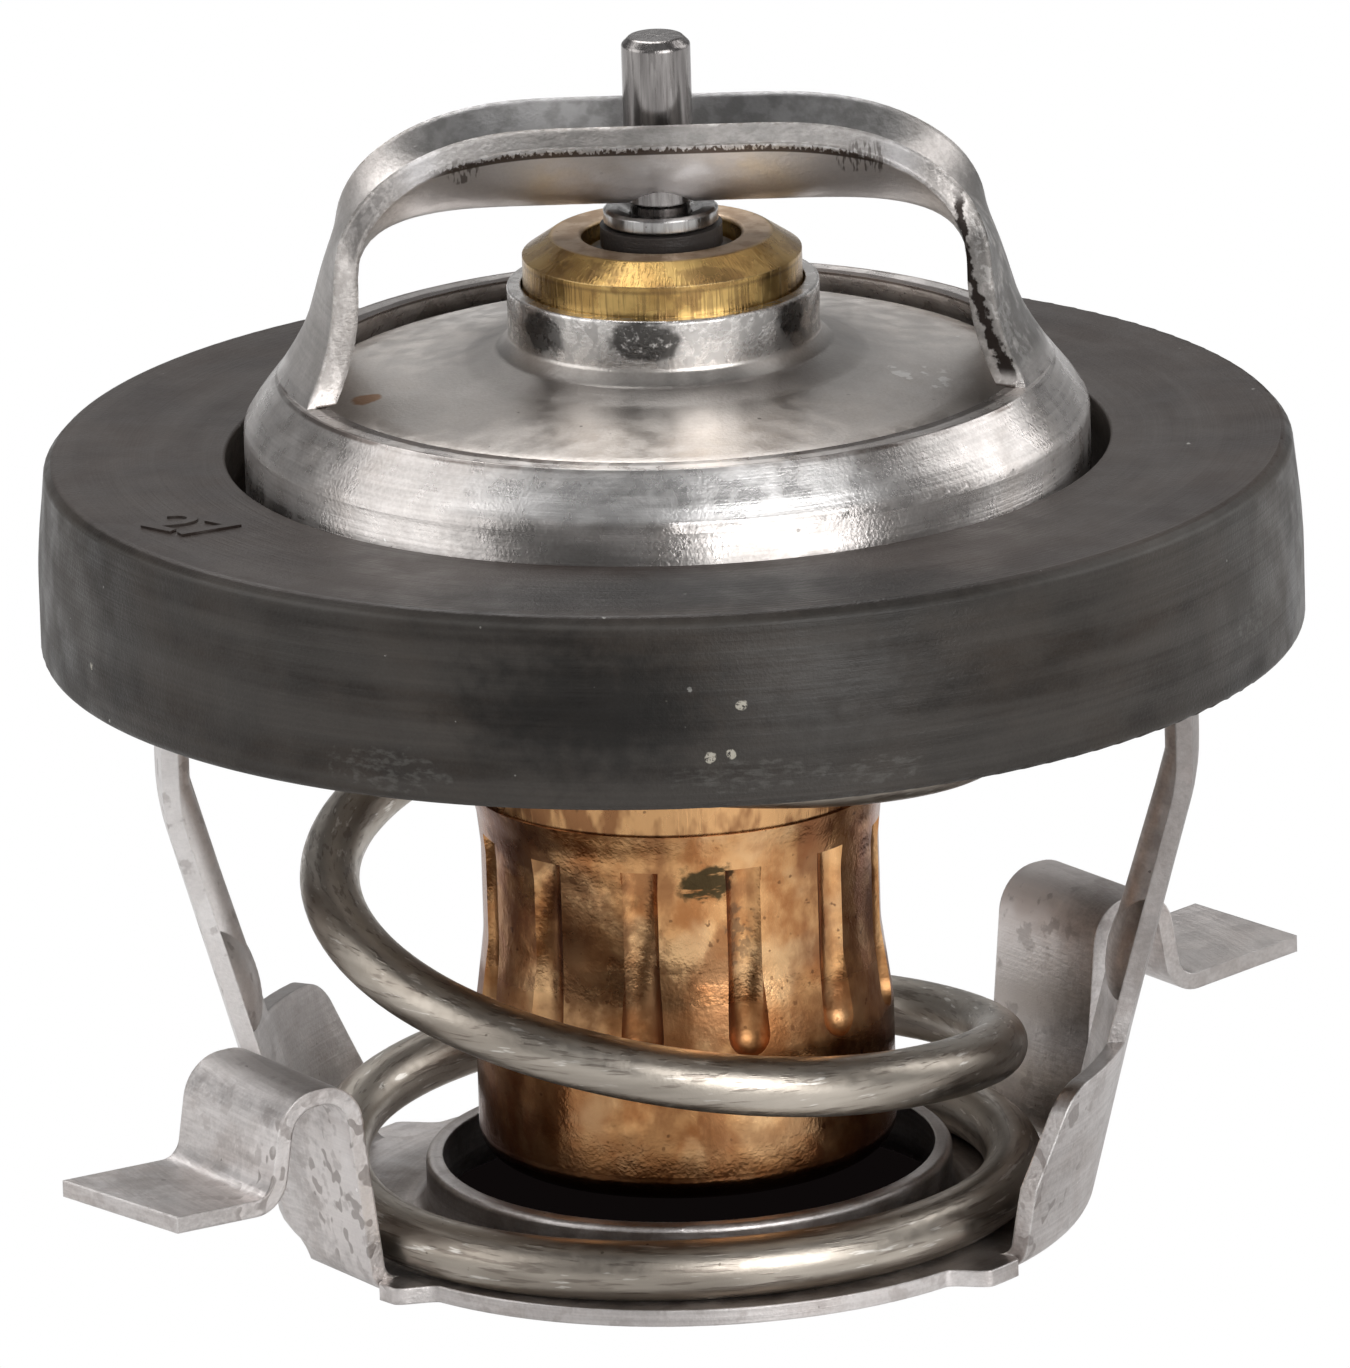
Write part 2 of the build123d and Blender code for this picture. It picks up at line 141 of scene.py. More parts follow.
# %% [markdown]
# ## Node helpers
# A finish is a tree of nodes: some make patterns, some do sums, and the last one is the shader.
# The functions below add a node, plug it in, do a sum, and lay one colour over another.
# A socket knows its own tree, so a sum needs no word on where to put its node.
# A mask is a number from 0 to 1 that says how much of a coat is seen at each place.

# %% Adding and plugging in
def add(tree, kind, **settings):
    """Add a shader node and set its properties."""
    node = tree.nodes.new("ShaderNode" + kind)
    for name, value in settings.items():
        setattr(node, name, value)
    return node


def feed(socket, value):
    """Plug another node's output into a socket, or give the socket a plain value."""
    if isinstance(value, bpy.types.NodeSocket):
        socket.id_data.links.new(value, socket)
    else:
        socket.default_value = value


def tree_of(*values):
    """The tree of the first value that comes from a node."""
    return next(value.id_data for value in values if isinstance(value, bpy.types.NodeSocket))


# %% Sums
def calc(operation, a, b=0.0):
    """Work a number out from one or two others."""
    node = add(tree_of(a, b), "Math", operation=operation)
    feed(node.inputs[0], a)
    feed(node.inputs[1], b)
    return node.outputs[0]


def vector_calc(operation, a, b=(0.0, 0.0, 0.0), answer="Vector"):
    """The same for vectors; the answer is a vector or a value."""
    node = add(tree_of(a, b), "VectorMath", operation=operation)
    feed(node.inputs[0], a)
    feed(node.inputs[1], b)
    return node.outputs[answer]


def plus(a, b):
    """a + b"""
    return calc("ADD", a, b)


def minus(a, b):
    """a - b"""
    return calc("SUBTRACT", a, b)


def times(a, b):
    """a * b"""
    return calc("MULTIPLY", a, b)


def unsigned(a):
    """a without its sign, such as a distance to either side"""
    return calc("ABSOLUTE", a)


# %% Masks
def smooth(value, low, high, bottom=0.0, top=1.0):
    """Smooth step of a value from bottom at low to top at high."""
    node = add(tree_of(value), "MapRange", interpolation_type="SMOOTHSTEP")
    feed(node.inputs["Value"], value)
    feed(node.inputs["From Min"], low)
    feed(node.inputs["From Max"], high)
    feed(node.inputs["To Min"], bottom)
    feed(node.inputs["To Max"], top)
    return node.outputs["Result"]


def scaled(mask, share):
    """A mask made weaker."""
    return times(mask, share)


def both(first, second, *more):
    """Where masks overlap."""
    shared = times(first, second)
    return both(shared, *more) if more else shared


def either(first, second):
    """The stronger of two masks."""
    return calc("MAXIMUM", first, second)


def band(value, start, full, fading, end):
    """A band that grows from start to full and dies away from fading to end."""
    return both(smooth(value, start, full), smooth(value, end, fading))


# %% Colours
def rgb(red, green, blue):
    """A colour from its red, green and blue light, each from 0 to 1."""
    return (red, green, blue, 1.0)


def mix(mask, below, above, kind="MIX"):
    """Lay one colour over another through a mask."""
    node = add(tree_of(mask), "Mix", data_type="RGBA", blend_type=kind)
    feed(node.inputs[0], mask)
    feed(node.inputs[6], below)
    feed(node.inputs[7], above)
    return node.outputs[2]


# %% [markdown]
# ## Shared effects
# Clouds of stain, specks, single spots and worn edges come back on every piece of this object.
# They could be copied into each material, but a node group is built once and changed in one place.
# Each material places the group with its own values, and sizes in a group are in millimetres.

# %% Group maker
def new_group(name, inputs, outputs):
    """Empty node group with its sockets; gives the tree, what comes in and what goes out."""
    group = bpy.data.node_groups.new(name, "ShaderNodeTree")
    for label, kind, value in inputs:
        socket = group.interface.new_socket(label, in_out="INPUT", socket_type="NodeSocket" + kind)
        if value is not None:
            socket.default_value = value
    for label, kind in outputs:
        group.interface.new_socket(label, in_out="OUTPUT", socket_type="NodeSocket" + kind)
    start = group.nodes.new("NodeGroupInput")
    end = group.nodes.new("NodeGroupOutput")
    print("group %s: %s" % (name, ", ".join(label for label, kind in outputs)))
    return group, start.outputs, end.inputs


def use(tree, group, **values):
    """Add a group to a finish and fill in its inputs."""
    node = tree.nodes.new("ShaderNodeGroup")
    node.node_tree = group
    for label, value in values.items():
        feed(node.inputs[label], value)
    return node.outputs


# %% [markdown]
# ### Places on the object
# Drawing, turning and coiling all leave marks that run round the valve's axis.
# So this group unrolls the object round that axis: a pattern stretched along the first number then
# lies in rings, and the second and third numbers are the radius and the height.

# %% Group: places on the object
MM_PER_METRE = 1000.0
UNROLLED_AT = 10.0


def make_places():
    """Place in millimetres, and the same place unrolled at a radius round the valve's axis."""
    g, given, result = new_group(
        "places", [("Place", "Vector", None)],
        [("Straight", "Vector"), ("Round", "Vector"), ("Radius", "Float"), ("Height", "Float"),
         ("Angle", "Float")])
    scale = add(g, "VectorMath", operation="SCALE")
    feed(scale.inputs[0], given["Place"])
    scale.inputs["Scale"].default_value = MM_PER_METRE
    straight = scale.outputs["Vector"]
    parts = add(g, "SeparateXYZ")
    feed(parts.inputs[0], straight)
    x, y, z = parts.outputs
    radius = calc("SQRT", plus(times(x, x), times(y, y)))
    angle = calc("ARCTAN2", x, times(y, -1.0))
    unrolled = add(g, "CombineXYZ")
    feed(unrolled.inputs[0], times(angle, UNROLLED_AT))
    feed(unrolled.inputs[1], radius)
    feed(unrolled.inputs[2], z)
    feed(result["Straight"], straight)
    feed(result["Round"], unrolled.outputs[0])
    feed(result["Radius"], radius)
    feed(result["Height"], z)
    feed(result["Angle"], angle)
    return g


PLACES = make_places()

# %% [markdown]
# ### Clouds
# Stains, grain and tarnish are irregular, and noise cut off at a level gives such patches.
# A high level leaves few of them, and a small softness gives them crisp edges.

# %% Group: cloud
CLOUD_ROUGHNESS = 0.55


def make_cloud():
    """Irregular patches. Size is their width, Level how little they cover, Soft their edge."""
    g, given, result = new_group(
        "cloud",
        [("Place", "Vector", None), ("Stretch", "Vector", (1, 1, 1)), ("Size", "Float", 2.0),
         ("Level", "Float", 0.5), ("Soft", "Float", 0.1), ("Detail", "Float", 3.0)],
        [("Mask", "Float")])
    noise = add(g, "TexNoise", noise_dimensions="3D")
    feed(noise.inputs["Vector"], vector_calc("DIVIDE", given["Place"], given["Stretch"]))
    feed(noise.inputs["Scale"], calc("DIVIDE", 1.0, given["Size"]))
    feed(noise.inputs["Detail"], given["Detail"])
    noise.inputs["Roughness"].default_value = CLOUD_ROUGHNESS
    low = minus(given["Level"], given["Soft"])
    high = plus(given["Level"], given["Soft"])
    feed(result["Mask"], smooth(noise.outputs["Fac"], low, high))
    return g


CLOUD = make_cloud()

# %% [markdown]
# ### Specks
# Grit, pits and nicks are small and stand apart, which noise can't give.
# A grid of cells holds one speck in some of its cells, and noise frays the specks' edges.

# %% Group: flecks
FRAY_SCALE = 5.0


def make_flecks():
    """Small separate specks, one in some of the cells of a grid."""
    g, given, result = new_group(
        "flecks",
        [("Place", "Vector", None), ("Cell", "Float", 2.0), ("Size", "Float", 0.1), ("Share", "Float", 0.3)],
        [("Mask", "Float")])
    cells = add(g, "TexVoronoi", voronoi_dimensions="3D", feature="F1")
    feed(cells.inputs["Vector"], given["Place"])
    feed(cells.inputs["Scale"], calc("DIVIDE", 1.0, given["Cell"]))
    fray = add(g, "TexNoise", noise_dimensions="3D")
    feed(fray.inputs["Vector"], given["Place"])
    fray.inputs["Scale"].default_value = FRAY_SCALE
    reach = calc("DIVIDE", given["Size"], given["Cell"])
    reach = times(reach, smooth(fray.outputs["Fac"], 0.3, 0.7, bottom=0.4, top=1.6))
    near = smooth(cells.outputs["Distance"], times(reach, 0.6), reach, bottom=1.0, top=0.0)
    parts = add(g, "SeparateColor")
    feed(parts.inputs[0], cells.outputs["Color"])
    chosen = calc("LESS_THAN", parts.outputs[0], given["Share"])
    feed(result["Mask"], both(near, chosen))
    return g


FLECKS = make_flecks()

# %% [markdown]
# ### Single spots
# Some marks sit at one known place, such as a dull patch on the collar.
# A spot is an ellipsoid round that place, and noise makes its edge ragged.

# %% Group: spot
SPOT_EDGE = 0.9
SPOT_NOISE_SCALE = 1.4
SPOT_NOISE_DETAIL = 3.0


def make_spot():
    """One stain at a chosen place, with a ragged edge as wide as Soft."""
    g, given, result = new_group(
        "spot",
        [("Place", "Vector", None), ("Centre", "Vector", (0, 0, 0)), ("Reach", "Vector", (1, 1, 1)),
         ("Ragged", "Float", 0.6), ("Soft", "Float", 0.15)],
        [("Mask", "Float")])
    away = vector_calc("DIVIDE", vector_calc("SUBTRACT", given["Place"], given["Centre"]), given["Reach"])
    distance = vector_calc("LENGTH", away, answer="Value")
    noise = add(g, "TexNoise", noise_dimensions="3D")
    feed(noise.inputs["Vector"], given["Place"])
    noise.inputs["Scale"].default_value = SPOT_NOISE_SCALE
    noise.inputs["Detail"].default_value = SPOT_NOISE_DETAIL
    shift = times(minus(noise.outputs["Fac"], 0.5), times(given["Ragged"], 3.0))
    near = minus(SPOT_EDGE, given["Soft"])
    far = plus(SPOT_EDGE, given["Soft"])
    feed(result["Mask"], smooth(plus(distance, shift), near, far, bottom=1.0, top=0.0))
    return g


SPOT = make_spot()

# %% [markdown]
# ### Edges
# A handled metal edge is never quite sharp, and it shines because it is rubbed; the coat laid on it is also a
# painted highlight.
# A bevel on the mesh would give it, but the solids' meshes stay as they are.
# So the Bevel node rounds only the shading, and where it turns the normal is an edge.

# %% Group: edges
BEVEL_SAMPLES = 4


def make_edges():
    """Where the surface turns a corner, and the normal of a slightly rounded corner."""
    g, given, result = new_group(
        "edges", [("Radius", "Float", 0.0002)], [("Mask", "Float"), ("Normal", "Vector")])
    rounded = add(g, "Bevel", samples=BEVEL_SAMPLES)
    feed(rounded.inputs["Radius"], given["Radius"])
    flat = add(g, "NewGeometry")
    alike = vector_calc("DOT_PRODUCT", rounded.outputs["Normal"], flat.outputs["Normal"], answer="Value")
    feed(result["Mask"], smooth(alike, 0.80, 0.99, bottom=1.0, top=0.0))
    feed(result["Normal"], rounded.outputs["Normal"])
    return g


EDGES = make_edges()

# %% [markdown]
# ## Finishes
# A finish is built up as paint is: a base colour, then thin coats, each laid through its own mask.
# A picture wrapped round each piece could give the same marks, but it would stretch over the bends.
# Patterns that read the object's own coordinates stay sharp close up and run on over corners.

# %% A finish in the making
class Finish:
    """A material being built: its nodes, the places on its piece, and its colour and roughness so far."""

    def __init__(self, name, metallic, roughness):
        self.material = bpy.data.materials.new(name)
        self.material.use_nodes = True
        self.tree = self.material.node_tree
        self.shader = self.tree.nodes["Principled BSDF"]
        self.shader.inputs["Metallic"].default_value = metallic
        self.shader.inputs["Roughness"].default_value = roughness
        places = use(self.tree, PLACES, Place=add(self.tree, "TexCoord").outputs["Object"])
        self.place = places["Straight"]
        self.unrolled = places["Round"]
        self.height = places["Height"]
        self.radius = places["Radius"]
        self.colour = None
        self.rough = roughness
        self.edge = None
        self.normal = None

    def lay(self, mask, share, paint):
        """Lay a thin coat over the colour, through a mask and at no more than a share."""
        self.colour = mix(scaled(mask, share), self.colour, paint)

    def roughen(self, mask, share):
        """Make the surface rougher through a mask."""
        self.rough = plus(self.rough, scaled(mask, share))

    def done(self):
        """Plug colour, roughness and relief into the shader, and give the material."""
        feed(self.shader.inputs["Base Color"], self.colour)
        feed(self.shader.inputs["Roughness"], self.rough)
        feed(self.shader.inputs["Normal"], self.normal)
        return self.material


# %% Patterns on a finish
def cloud(f, size, level=0.5, soft=0.1, stretch=(1, 1, 1), detail=3.0):
    """Irregular patches of a size; a higher level leaves fewer, and soft is how soft their edges are."""
    return use(f.tree, CLOUD, Place=f.place, Size=size, Level=level, Soft=soft, Stretch=stretch,
               Detail=detail)["Mask"]


def rings(f, size, level=0.5, soft=0.1, stretch=(1, 1, 1)):
    """Clouds on the unrolled surface, so that a long first stretch draws them out into rings."""
    return use(f.tree, CLOUD, Place=f.unrolled, Size=size, Level=level, Soft=soft, Stretch=stretch)["Mask"]


def flecks(f, cell, size, share):
    """Specks of a size, in a share of the cells."""
    return use(f.tree, FLECKS, Place=f.place, Cell=cell, Size=size, Share=share)["Mask"]


def spot(f, centre, reach, ragged=0.6, soft=0.15):
    """One mark round a place, reaching so far each way."""
    return use(f.tree, SPOT, Place=f.place, Centre=centre, Reach=reach, Ragged=ragged, Soft=soft)["Mask"]


# %% Edges, relief and turned marks
QUARTER_TURN = 0.25


def round_edges(f, radius, shine, paint):
    """Round the edges in the shading, by a radius in metres, and lay a coat on them that is rubbed wear and a
    painted highlight.
    """
    edges = use(f.tree, EDGES, Radius=radius)
    f.edge = edges["Mask"]
    f.normal = edges["Normal"]
    f.lay(f.edge, shine, paint)


def bump(f, relief, depth):
    """Relief of a depth in millimetres, on top of the relief and the rounded edges so far."""
    node = add(f.tree, "Bump")
    node.inputs["Strength"].default_value = 1.0
    node.inputs["Distance"].default_value = depth / MM_PER_METRE
    feed(node.inputs["Height"], relief)
    if f.normal is not None:
        feed(node.inputs["Normal"], f.normal)
    f.normal = node.outputs["Normal"]


def turned(f, anisotropy):
    """Marks that run round the axis smear a reflection up and down."""
    direction = add(f.tree, "Tangent", direction_type="RADIAL", axis="Z")
    feed(f.shader.inputs["Tangent"], direction.outputs["Tangent"])
    f.shader.inputs["Anisotropic"].default_value = anisotropy
    f.shader.inputs["Anisotropic Rotation"].default_value = QUARTER_TURN


# %% Putting a finish on its solid
def dress(name, material):
    """Put a material on a solid, in place of the plain one."""
    solids[name].data.materials.clear()
    solids[name].data.materials.append(material)
    print("%s wears %s, %d nodes" % (name, material.name, len(material.node_tree.nodes)))


# %% [markdown]
# ### Sheet metal
# Three pieces are pressed from steel sheet, so they share one base.
# It has two greys in clouds, a fine grain, faint marks of the drawing, specks, and bright rubbed edges with a
# painted highlight.
# A function builds that base with each piece's own greys, and the piece then adds its own marks.

# %% Sheet metal
DRAWING_STRETCH = (12.0, 0.5, 0.35)
DRAWING_SHADE = rgb(0.16, 0.15, 0.145)
GRAIN_LIGHT = rgb(0.9, 0.88, 0.86)
DARK_SPECK = rgb(0.10, 0.085, 0.075)
LIGHT_SPECK = rgb(0.95, 0.94, 0.92)
RUBBED_EDGE_HIGHLIGHT = rgb(0.92, 0.90, 0.88)


def sheet_metal(name, greys, roughness, anisotropy, edge_width, edge_shine, edge_from=-1.0, drawing=1.0):
    """Pressed steel sheet. Its edges are rounded by edge_width above the height edge_from, in millimetres."""
    dark, light, stain = greys
    f = Finish(name, metallic=1.0, roughness=roughness)
    grain = cloud(f, size=0.16, soft=0.25)
    marks = scaled(rings(f, size=0.5, soft=0.2, stretch=DRAWING_STRETCH), drawing)
    f.colour = mix(cloud(f, size=4.5, soft=0.16), dark, light)
    f.lay(cloud(f, size=2.6, level=0.57, soft=0.12), 0.5, stain)
    f.colour = mix(scaled(marks, 0.22), f.colour, DRAWING_SHADE, "MULTIPLY")
    f.lay(grain, 0.20, GRAIN_LIGHT)
    f.lay(flecks(f, cell=1.3, size=0.10, share=0.30), 0.7, DARK_SPECK)
    f.lay(flecks(f, cell=2.1, size=0.09, share=0.25), 0.8, LIGHT_SPECK)
    rounding = smooth(f.height, edge_from, edge_from + 0.5, 0.0, edge_width / MM_PER_METRE)
    # The bright coat on the edges is rubbed wear and also a painted highlight.
    round_edges(f, rounding, edge_shine, RUBBED_EDGE_HIGHLIGHT)
    f.rough = roughness - 0.06
    f.roughen(cloud(f, size=1.2, soft=0.2), 0.12)
    bump(f, plus(grain, marks), depth=0.005)
    if anisotropy:
        turned(f, anisotropy=anisotropy)
    return f


# %% [markdown]
# ### Bridge flange
# The upper frame is one sheet, drawn into a skirt with a valve seat and pierced so that a bridge is left.
# Drawing leaves rings on the skirt, and shearing leaves torn edges on the bridge.
# Each kind of mark has its own short function, and masks from height, radius and direction place it.
# Painting by hand would be quicker to begin with, but it would have to be done again for every change.

# %% Bridge flange: sizes and paints
# Sizes are in millimetres. A ramp is a pair: the place where a mask starts and the place where it is full.
SEAT_TOP = 39.4
SEAT_EDGE = 17.1
SEAT_WANDER = 0.16
BRIDGE_STARTS = (SEAT_TOP + 0.2, SEAT_TOP + 1.2)
FRONT = (0.0, -1.0, 0.0)
FRONT_AND_DOWN = (0.0, -1.0, -0.35)
UP_AND_FRONT = (0.0, -0.3, 0.95)
FLANGE_GREYS = (rgb(0.49, 0.455, 0.435), rgb(0.66, 0.62, 0.595), rgb(0.42, 0.375, 0.345))
TORN_BROWN = rgb(0.21, 0.16, 0.12)
SEAT_LINE = rgb(0.13, 0.10, 0.085)
SEAT_JOINT_SHADE = rgb(0.075, 0.055, 0.045)


# %% [markdown]
# #### Seat
# The disc's edge rests on the seat, and the joint between them is painted as a dark ring of shade, with a
# thin broken line outside it.
# Two ramps on the radius give the rings crisp edges at any distance.
# A cloud moves the radius a little, so that they aren't perfectly round.

# %% Bridge flange: seat
def seat_lines(f):
    """Painted shade where the disc's edge sits, and a broken line round the seat's outside."""
    wander = times(minus(rings(f, size=1.2, soft=0.3), 0.5), SEAT_WANDER)
    seat_place = plus(f.radius, wander)
    rim_top = band(f.height, SEAT_TOP - 0.2, SEAT_TOP - 0.1, SEAT_TOP + 0.04, SEAT_TOP + 0.12)
    seat = both(rim_top, smooth(seat_place, SEAT_EDGE - 0.64, SEAT_EDGE - 0.78))
    rim_line = both(rim_top, smooth(seat_place, SEAT_EDGE - 0.20, SEAT_EDGE - 0.13))
    f.lay(both(rim_line, rings(f, size=0.8, level=0.45, stretch=(3.0, 1.0, 1.0))), 0.8, SEAT_LINE)
    # Painted shade in the joint between the disc and the seat.
    f.lay(seat, 0.9, SEAT_JOINT_SHADE)


# %% [markdown]
# #### Front of the bridge
# Shears cut a sheet cleanly for part of its thickness and then tear it.
# The clean part is bright, and its wall is lightened further as a painted reflection; the line where the
# tearing starts is dark and toothed.
# The line follows the bridge's crest, so it is a curve worked out from how far a place is to the side.

# %% Bridge flange: front of the bridge
def facing(f, direction, low, high):
    """Where the surface looks in a direction."""
    normal = add(f.tree, "TexCoord").outputs["Normal"]
    return smooth(vector_calc("DOT_PRODUCT", normal, direction, answer="Value"), low, high)


SHEAR_CREST = 49.86
SHEAR_FLAT_HALF = 4.0
SHEAR_FALL = 0.020
TOOTH_HEIGHT = 0.34
LINE_ENDS = (10.6, 9.0)
WALL_RADIUS = (12.5, 10.5)
NEAR_SIDE = (0.0, -0.8)
HATCHED_ENDS = (((8.9, -3.2, 49.3), (1.3, 2.0, 0.8), 0.3), ((-8.6, -3.2, 49.2), (0.8, 2.0, 0.7), 0.3))
WALL_PAINTED_REFLECTION = rgb(0.88, 0.875, 0.895)
BURNISHED = rgb(0.30, 0.28, 0.26)
SHEAR_DARK = rgb(0.075, 0.048, 0.034)
HATCH_DARK = rgb(0.12, 0.10, 0.09)


def bridge_front(f, bridge, y, z, sideways):
    """Wall under a torn line, lightened as a painted reflection, where the shears broke through the sheet;
    gives where the front is.
    """
    wall = both(facing(f, FRONT_AND_DOWN, 0.3, 0.6), both(bridge, smooth(f.radius, *WALL_RADIUS)))
    # Painted reflection: the front wall is lightened to stand in for the light it mirrors.
    f.lay(wall, 0.70, WALL_PAINTED_REFLECTION)
    fall = calc("MAXIMUM", minus(sideways, SHEAR_FLAT_HALF), 0.0)
    shear = minus(SHEAR_CREST, times(times(fall, fall), SHEAR_FALL))
    teeth = times(cloud(f, size=0.28, soft=0.2, stretch=(0.5, 1.0, 3.0)), TOOTH_HEIGHT)
    above = minus(z, shear)
    front = both(facing(f, FRONT_AND_DOWN, 0.25, 0.5), smooth(y, *NEAR_SIDE))
    torn_line = both(smooth(above, -0.10, -0.03), smooth(minus(above, teeth), 0.09, 0.0), front,
                     smooth(sideways, *LINE_ENDS))
    upper = both(smooth(above, 0.0, 0.2), front, smooth(sideways, *LINE_ENDS))
    f.lay(both(upper, cloud(f, size=0.3, level=0.46)), 0.5, BURNISHED)
    f.lay(torn_line, 0.90, SHEAR_DARK)
    right_end, left_end = HATCHED_ENDS
    scratches = cloud(f, size=0.2, soft=0.06, stretch=(0.8, 3.0, 14.0), detail=1.0)
    f.lay(both(either(spot(f, *right_end), spot(f, *left_end)), scratches), 0.75, HATCH_DARK)
    return front


# %% [markdown]
# #### Cut faces and top
# The sheet's cut faces are speckled, and the trough that stiffens the bridge's top is painted darker as
# shade.
# The solid is one mesh with no named faces, so the direction that a face looks in picks it out.

# %% Bridge flange: cut faces and top
CUT_ARM_SIDE = (10.5, 12.0)
BROWN_RADIUS = (13.0, 2.0)
BROWN_HEIGHT = (47.6, 49.2)
TROUGH_HEIGHT = (48.3, 49.0)
TROUGH_RADIUS = (14.0, 10.0)
OFF_THE_EDGE = (0.6, 0.1)
CUT_SPECKLE = rgb(0.20, 0.185, 0.17)
ARM_SPECKLE = rgb(0.27, 0.25, 0.235)
WARM_BROWN = rgb(0.42, 0.34, 0.30)
TROUGH_SHADE = rgb(0.14, 0.137, 0.13)


def cut_faces(f, bridge, sideways):
    """Speckled faces where the sheet was cut through, along the bridge and down the arms."""
    cut_face = both(facing(f, UP_AND_FRONT, 0.7, 0.9), bridge, smooth(f.edge, 0.0, 0.5))
    speckle = cloud(f, size=0.25, level=0.48, soft=0.08, stretch=(1.6, 1.0, 1.0))
    f.lay(both(cut_face, speckle), 0.55, CUT_SPECKLE)
    arm_face = both(facing(f, FRONT, 0.5, 0.8), bridge, smooth(sideways, *CUT_ARM_SIDE))
    arm_speckle = cloud(f, size=0.32, level=0.48, soft=0.07, stretch=(1.0, 1.0, 1.8))
    f.lay(both(arm_face, arm_speckle), 0.48, ARM_SPECKLE)


def bridge_top(f, bridge, front):
    """Brown film low on the bridge's middle, and painted shade in the trough pressed along its top."""
    middle = smooth(f.radius, *BROWN_RADIUS)
    low_wall = smooth(f.height, *BROWN_HEIGHT, bottom=1.0, top=0.0)
    f.lay(both(middle, low_wall, bridge), 0.30, WARM_BROWN)
    trough = both(smooth(f.height, *TROUGH_HEIGHT), smooth(f.radius, *TROUGH_RADIUS),
                  smooth(f.edge, *OFF_THE_EDGE), minus(1.0, front))
    mottled = cloud(f, size=0.9, soft=0.15)
    # Painted shade in the trough's recess.
    f.lay(trough, smooth(mottled, 0.0, 1.0, bottom=0.82, top=0.68), TROUGH_SHADE)


# %% [markdown]
# #### Arms
# The arms bend down from the bridge to the skirt, and the right one is torn along its front.
# A drawn line would slide off a bent arm, so the tear is a distance from a curve that bends as the arm does.

# %% Bridge flange: arms
TEAR_TOP = 47.6
TEAR_SIDE = 13.1
TEAR_BEND = 0.034
TEAR_HALF_WIDTH = 0.14
TEAR_WIDENS = 0.017
TEAR_WANDER = 0.5
CHIPS_ASIDE = 0.75
TEAR_HEIGHTS = (SEAT_TOP + 0.2, SEAT_TOP + 0.8, 47.2, 48.3)
TEAR_NEAR_SIDE = (-1.6, -2.2)
RIGHT_ARM_SIDE, RIGHT_ARM_HEIGHT = (12.6, 14.2), (48.2, 46.5)
LEFT_ARM_SIDE, LEFT_ARM_HEIGHT = (-12.2, -13.6), (48.6, 46.9)
RIGHT_ARM_GREY = rgb(0.17, 0.16, 0.15)
LEFT_ARM_GREY = rgb(0.30, 0.285, 0.27)
CHIP_LIGHT = rgb(0.85, 0.83, 0.81)
TEAR_DARK = rgb(0.016, 0.011, 0.009)


def arm_tear(f, x, y, z):
    """Ragged dark tear down the front of the right arm, and bright chips beside it."""
    drop = minus(TEAR_TOP, z)
    middle = plus(TEAR_SIDE, times(times(drop, drop), TEAR_BEND))
    ragged = times(minus(cloud(f, size=0.5, soft=0.35, detail=5.0), 0.5), TEAR_WANDER)
    off = plus(minus(x, middle), ragged)
    half_width = plus(TEAR_HALF_WIDTH, times(drop, TEAR_WIDENS))
    where = both(band(z, *TEAR_HEIGHTS), smooth(y, *TEAR_NEAR_SIDE))
    tear = both(where, smooth(minus(unsigned(off), half_width), -0.05, 0.10, bottom=1.0, top=0.0))
    beside = smooth(unsigned(minus(off, CHIPS_ASIDE)), 0.15, 0.4, bottom=1.0, top=0.0)
    f.lay(both(where, beside, cloud(f, size=0.4, level=0.52, soft=0.05)), 0.22, CHIP_LIGHT)
    f.lay(tear, 0.96, TEAR_DARK)


def arms(f, bridge, x, y, z):
    """Dull outsides of both arms, and the tear in the right one."""
    right_arm = both(smooth(x, *RIGHT_ARM_SIDE), both(smooth(z, *RIGHT_ARM_HEIGHT), bridge))
    f.lay(both(right_arm, cloud(f, size=0.9, level=0.36, soft=0.15)), 0.86, RIGHT_ARM_GREY)
    left_arm = both(smooth(x, *LEFT_ARM_SIDE), both(smooth(z, *LEFT_ARM_HEIGHT), bridge))
    f.lay(both(left_arm, cloud(f, size=1.3, level=0.40, soft=0.15)), 0.30, LEFT_ARM_GREY)
    arm_tear(f, x, y, z)


# %% [markdown]
# #### Skirt
# The front of the skirt's lip carries a painted highlight, and darker rings run under it.
# Both are single spots cut by a second mask, a height for the lip and drawing rings for the darker band.

# %% Bridge flange: skirt
LIP_HEIGHT = (37.2, 37.6)
LIP_MARK = ((1.5, -18.0, 38.2), (12.0, 4.0, 1.5), 0.2, 0.5)
DARK_RING_MARK = ((-1.0, -17.5, 36.5), (9.0, 6.0, 2.6), 0.4, 0.5)
LIP_HIGHLIGHT = rgb(0.98, 0.965, 0.955)
DARK_RING_GREY = rgb(0.20, 0.19, 0.18)


def skirt(f):
    """Painted highlight on the lip at the front of the skirt, and darker rings under it."""
    # The lip's bright front is a painted highlight.
    f.lay(both(spot(f, *LIP_MARK), smooth(f.height, *LIP_HEIGHT)), 0.80, LIP_HIGHLIGHT)
    f.lay(both(rings(f, size=1.6, stretch=(3.0, 1.0, 1.0)), spot(f, *DARK_RING_MARK)), 0.55, DARK_RING_GREY)


# %% [markdown]
# #### The whole flange
# Each function lays its coats over the ones before it, so the order in which they are called matters.
# A last relief bends the light on the skirt, as if its wall were slightly bowed.

# %% Bridge flange: the whole finish
SKIRT_BOTTOM = 32.2
SKIRT_LIP = 37.6
SKIRT_BOW = 1.3


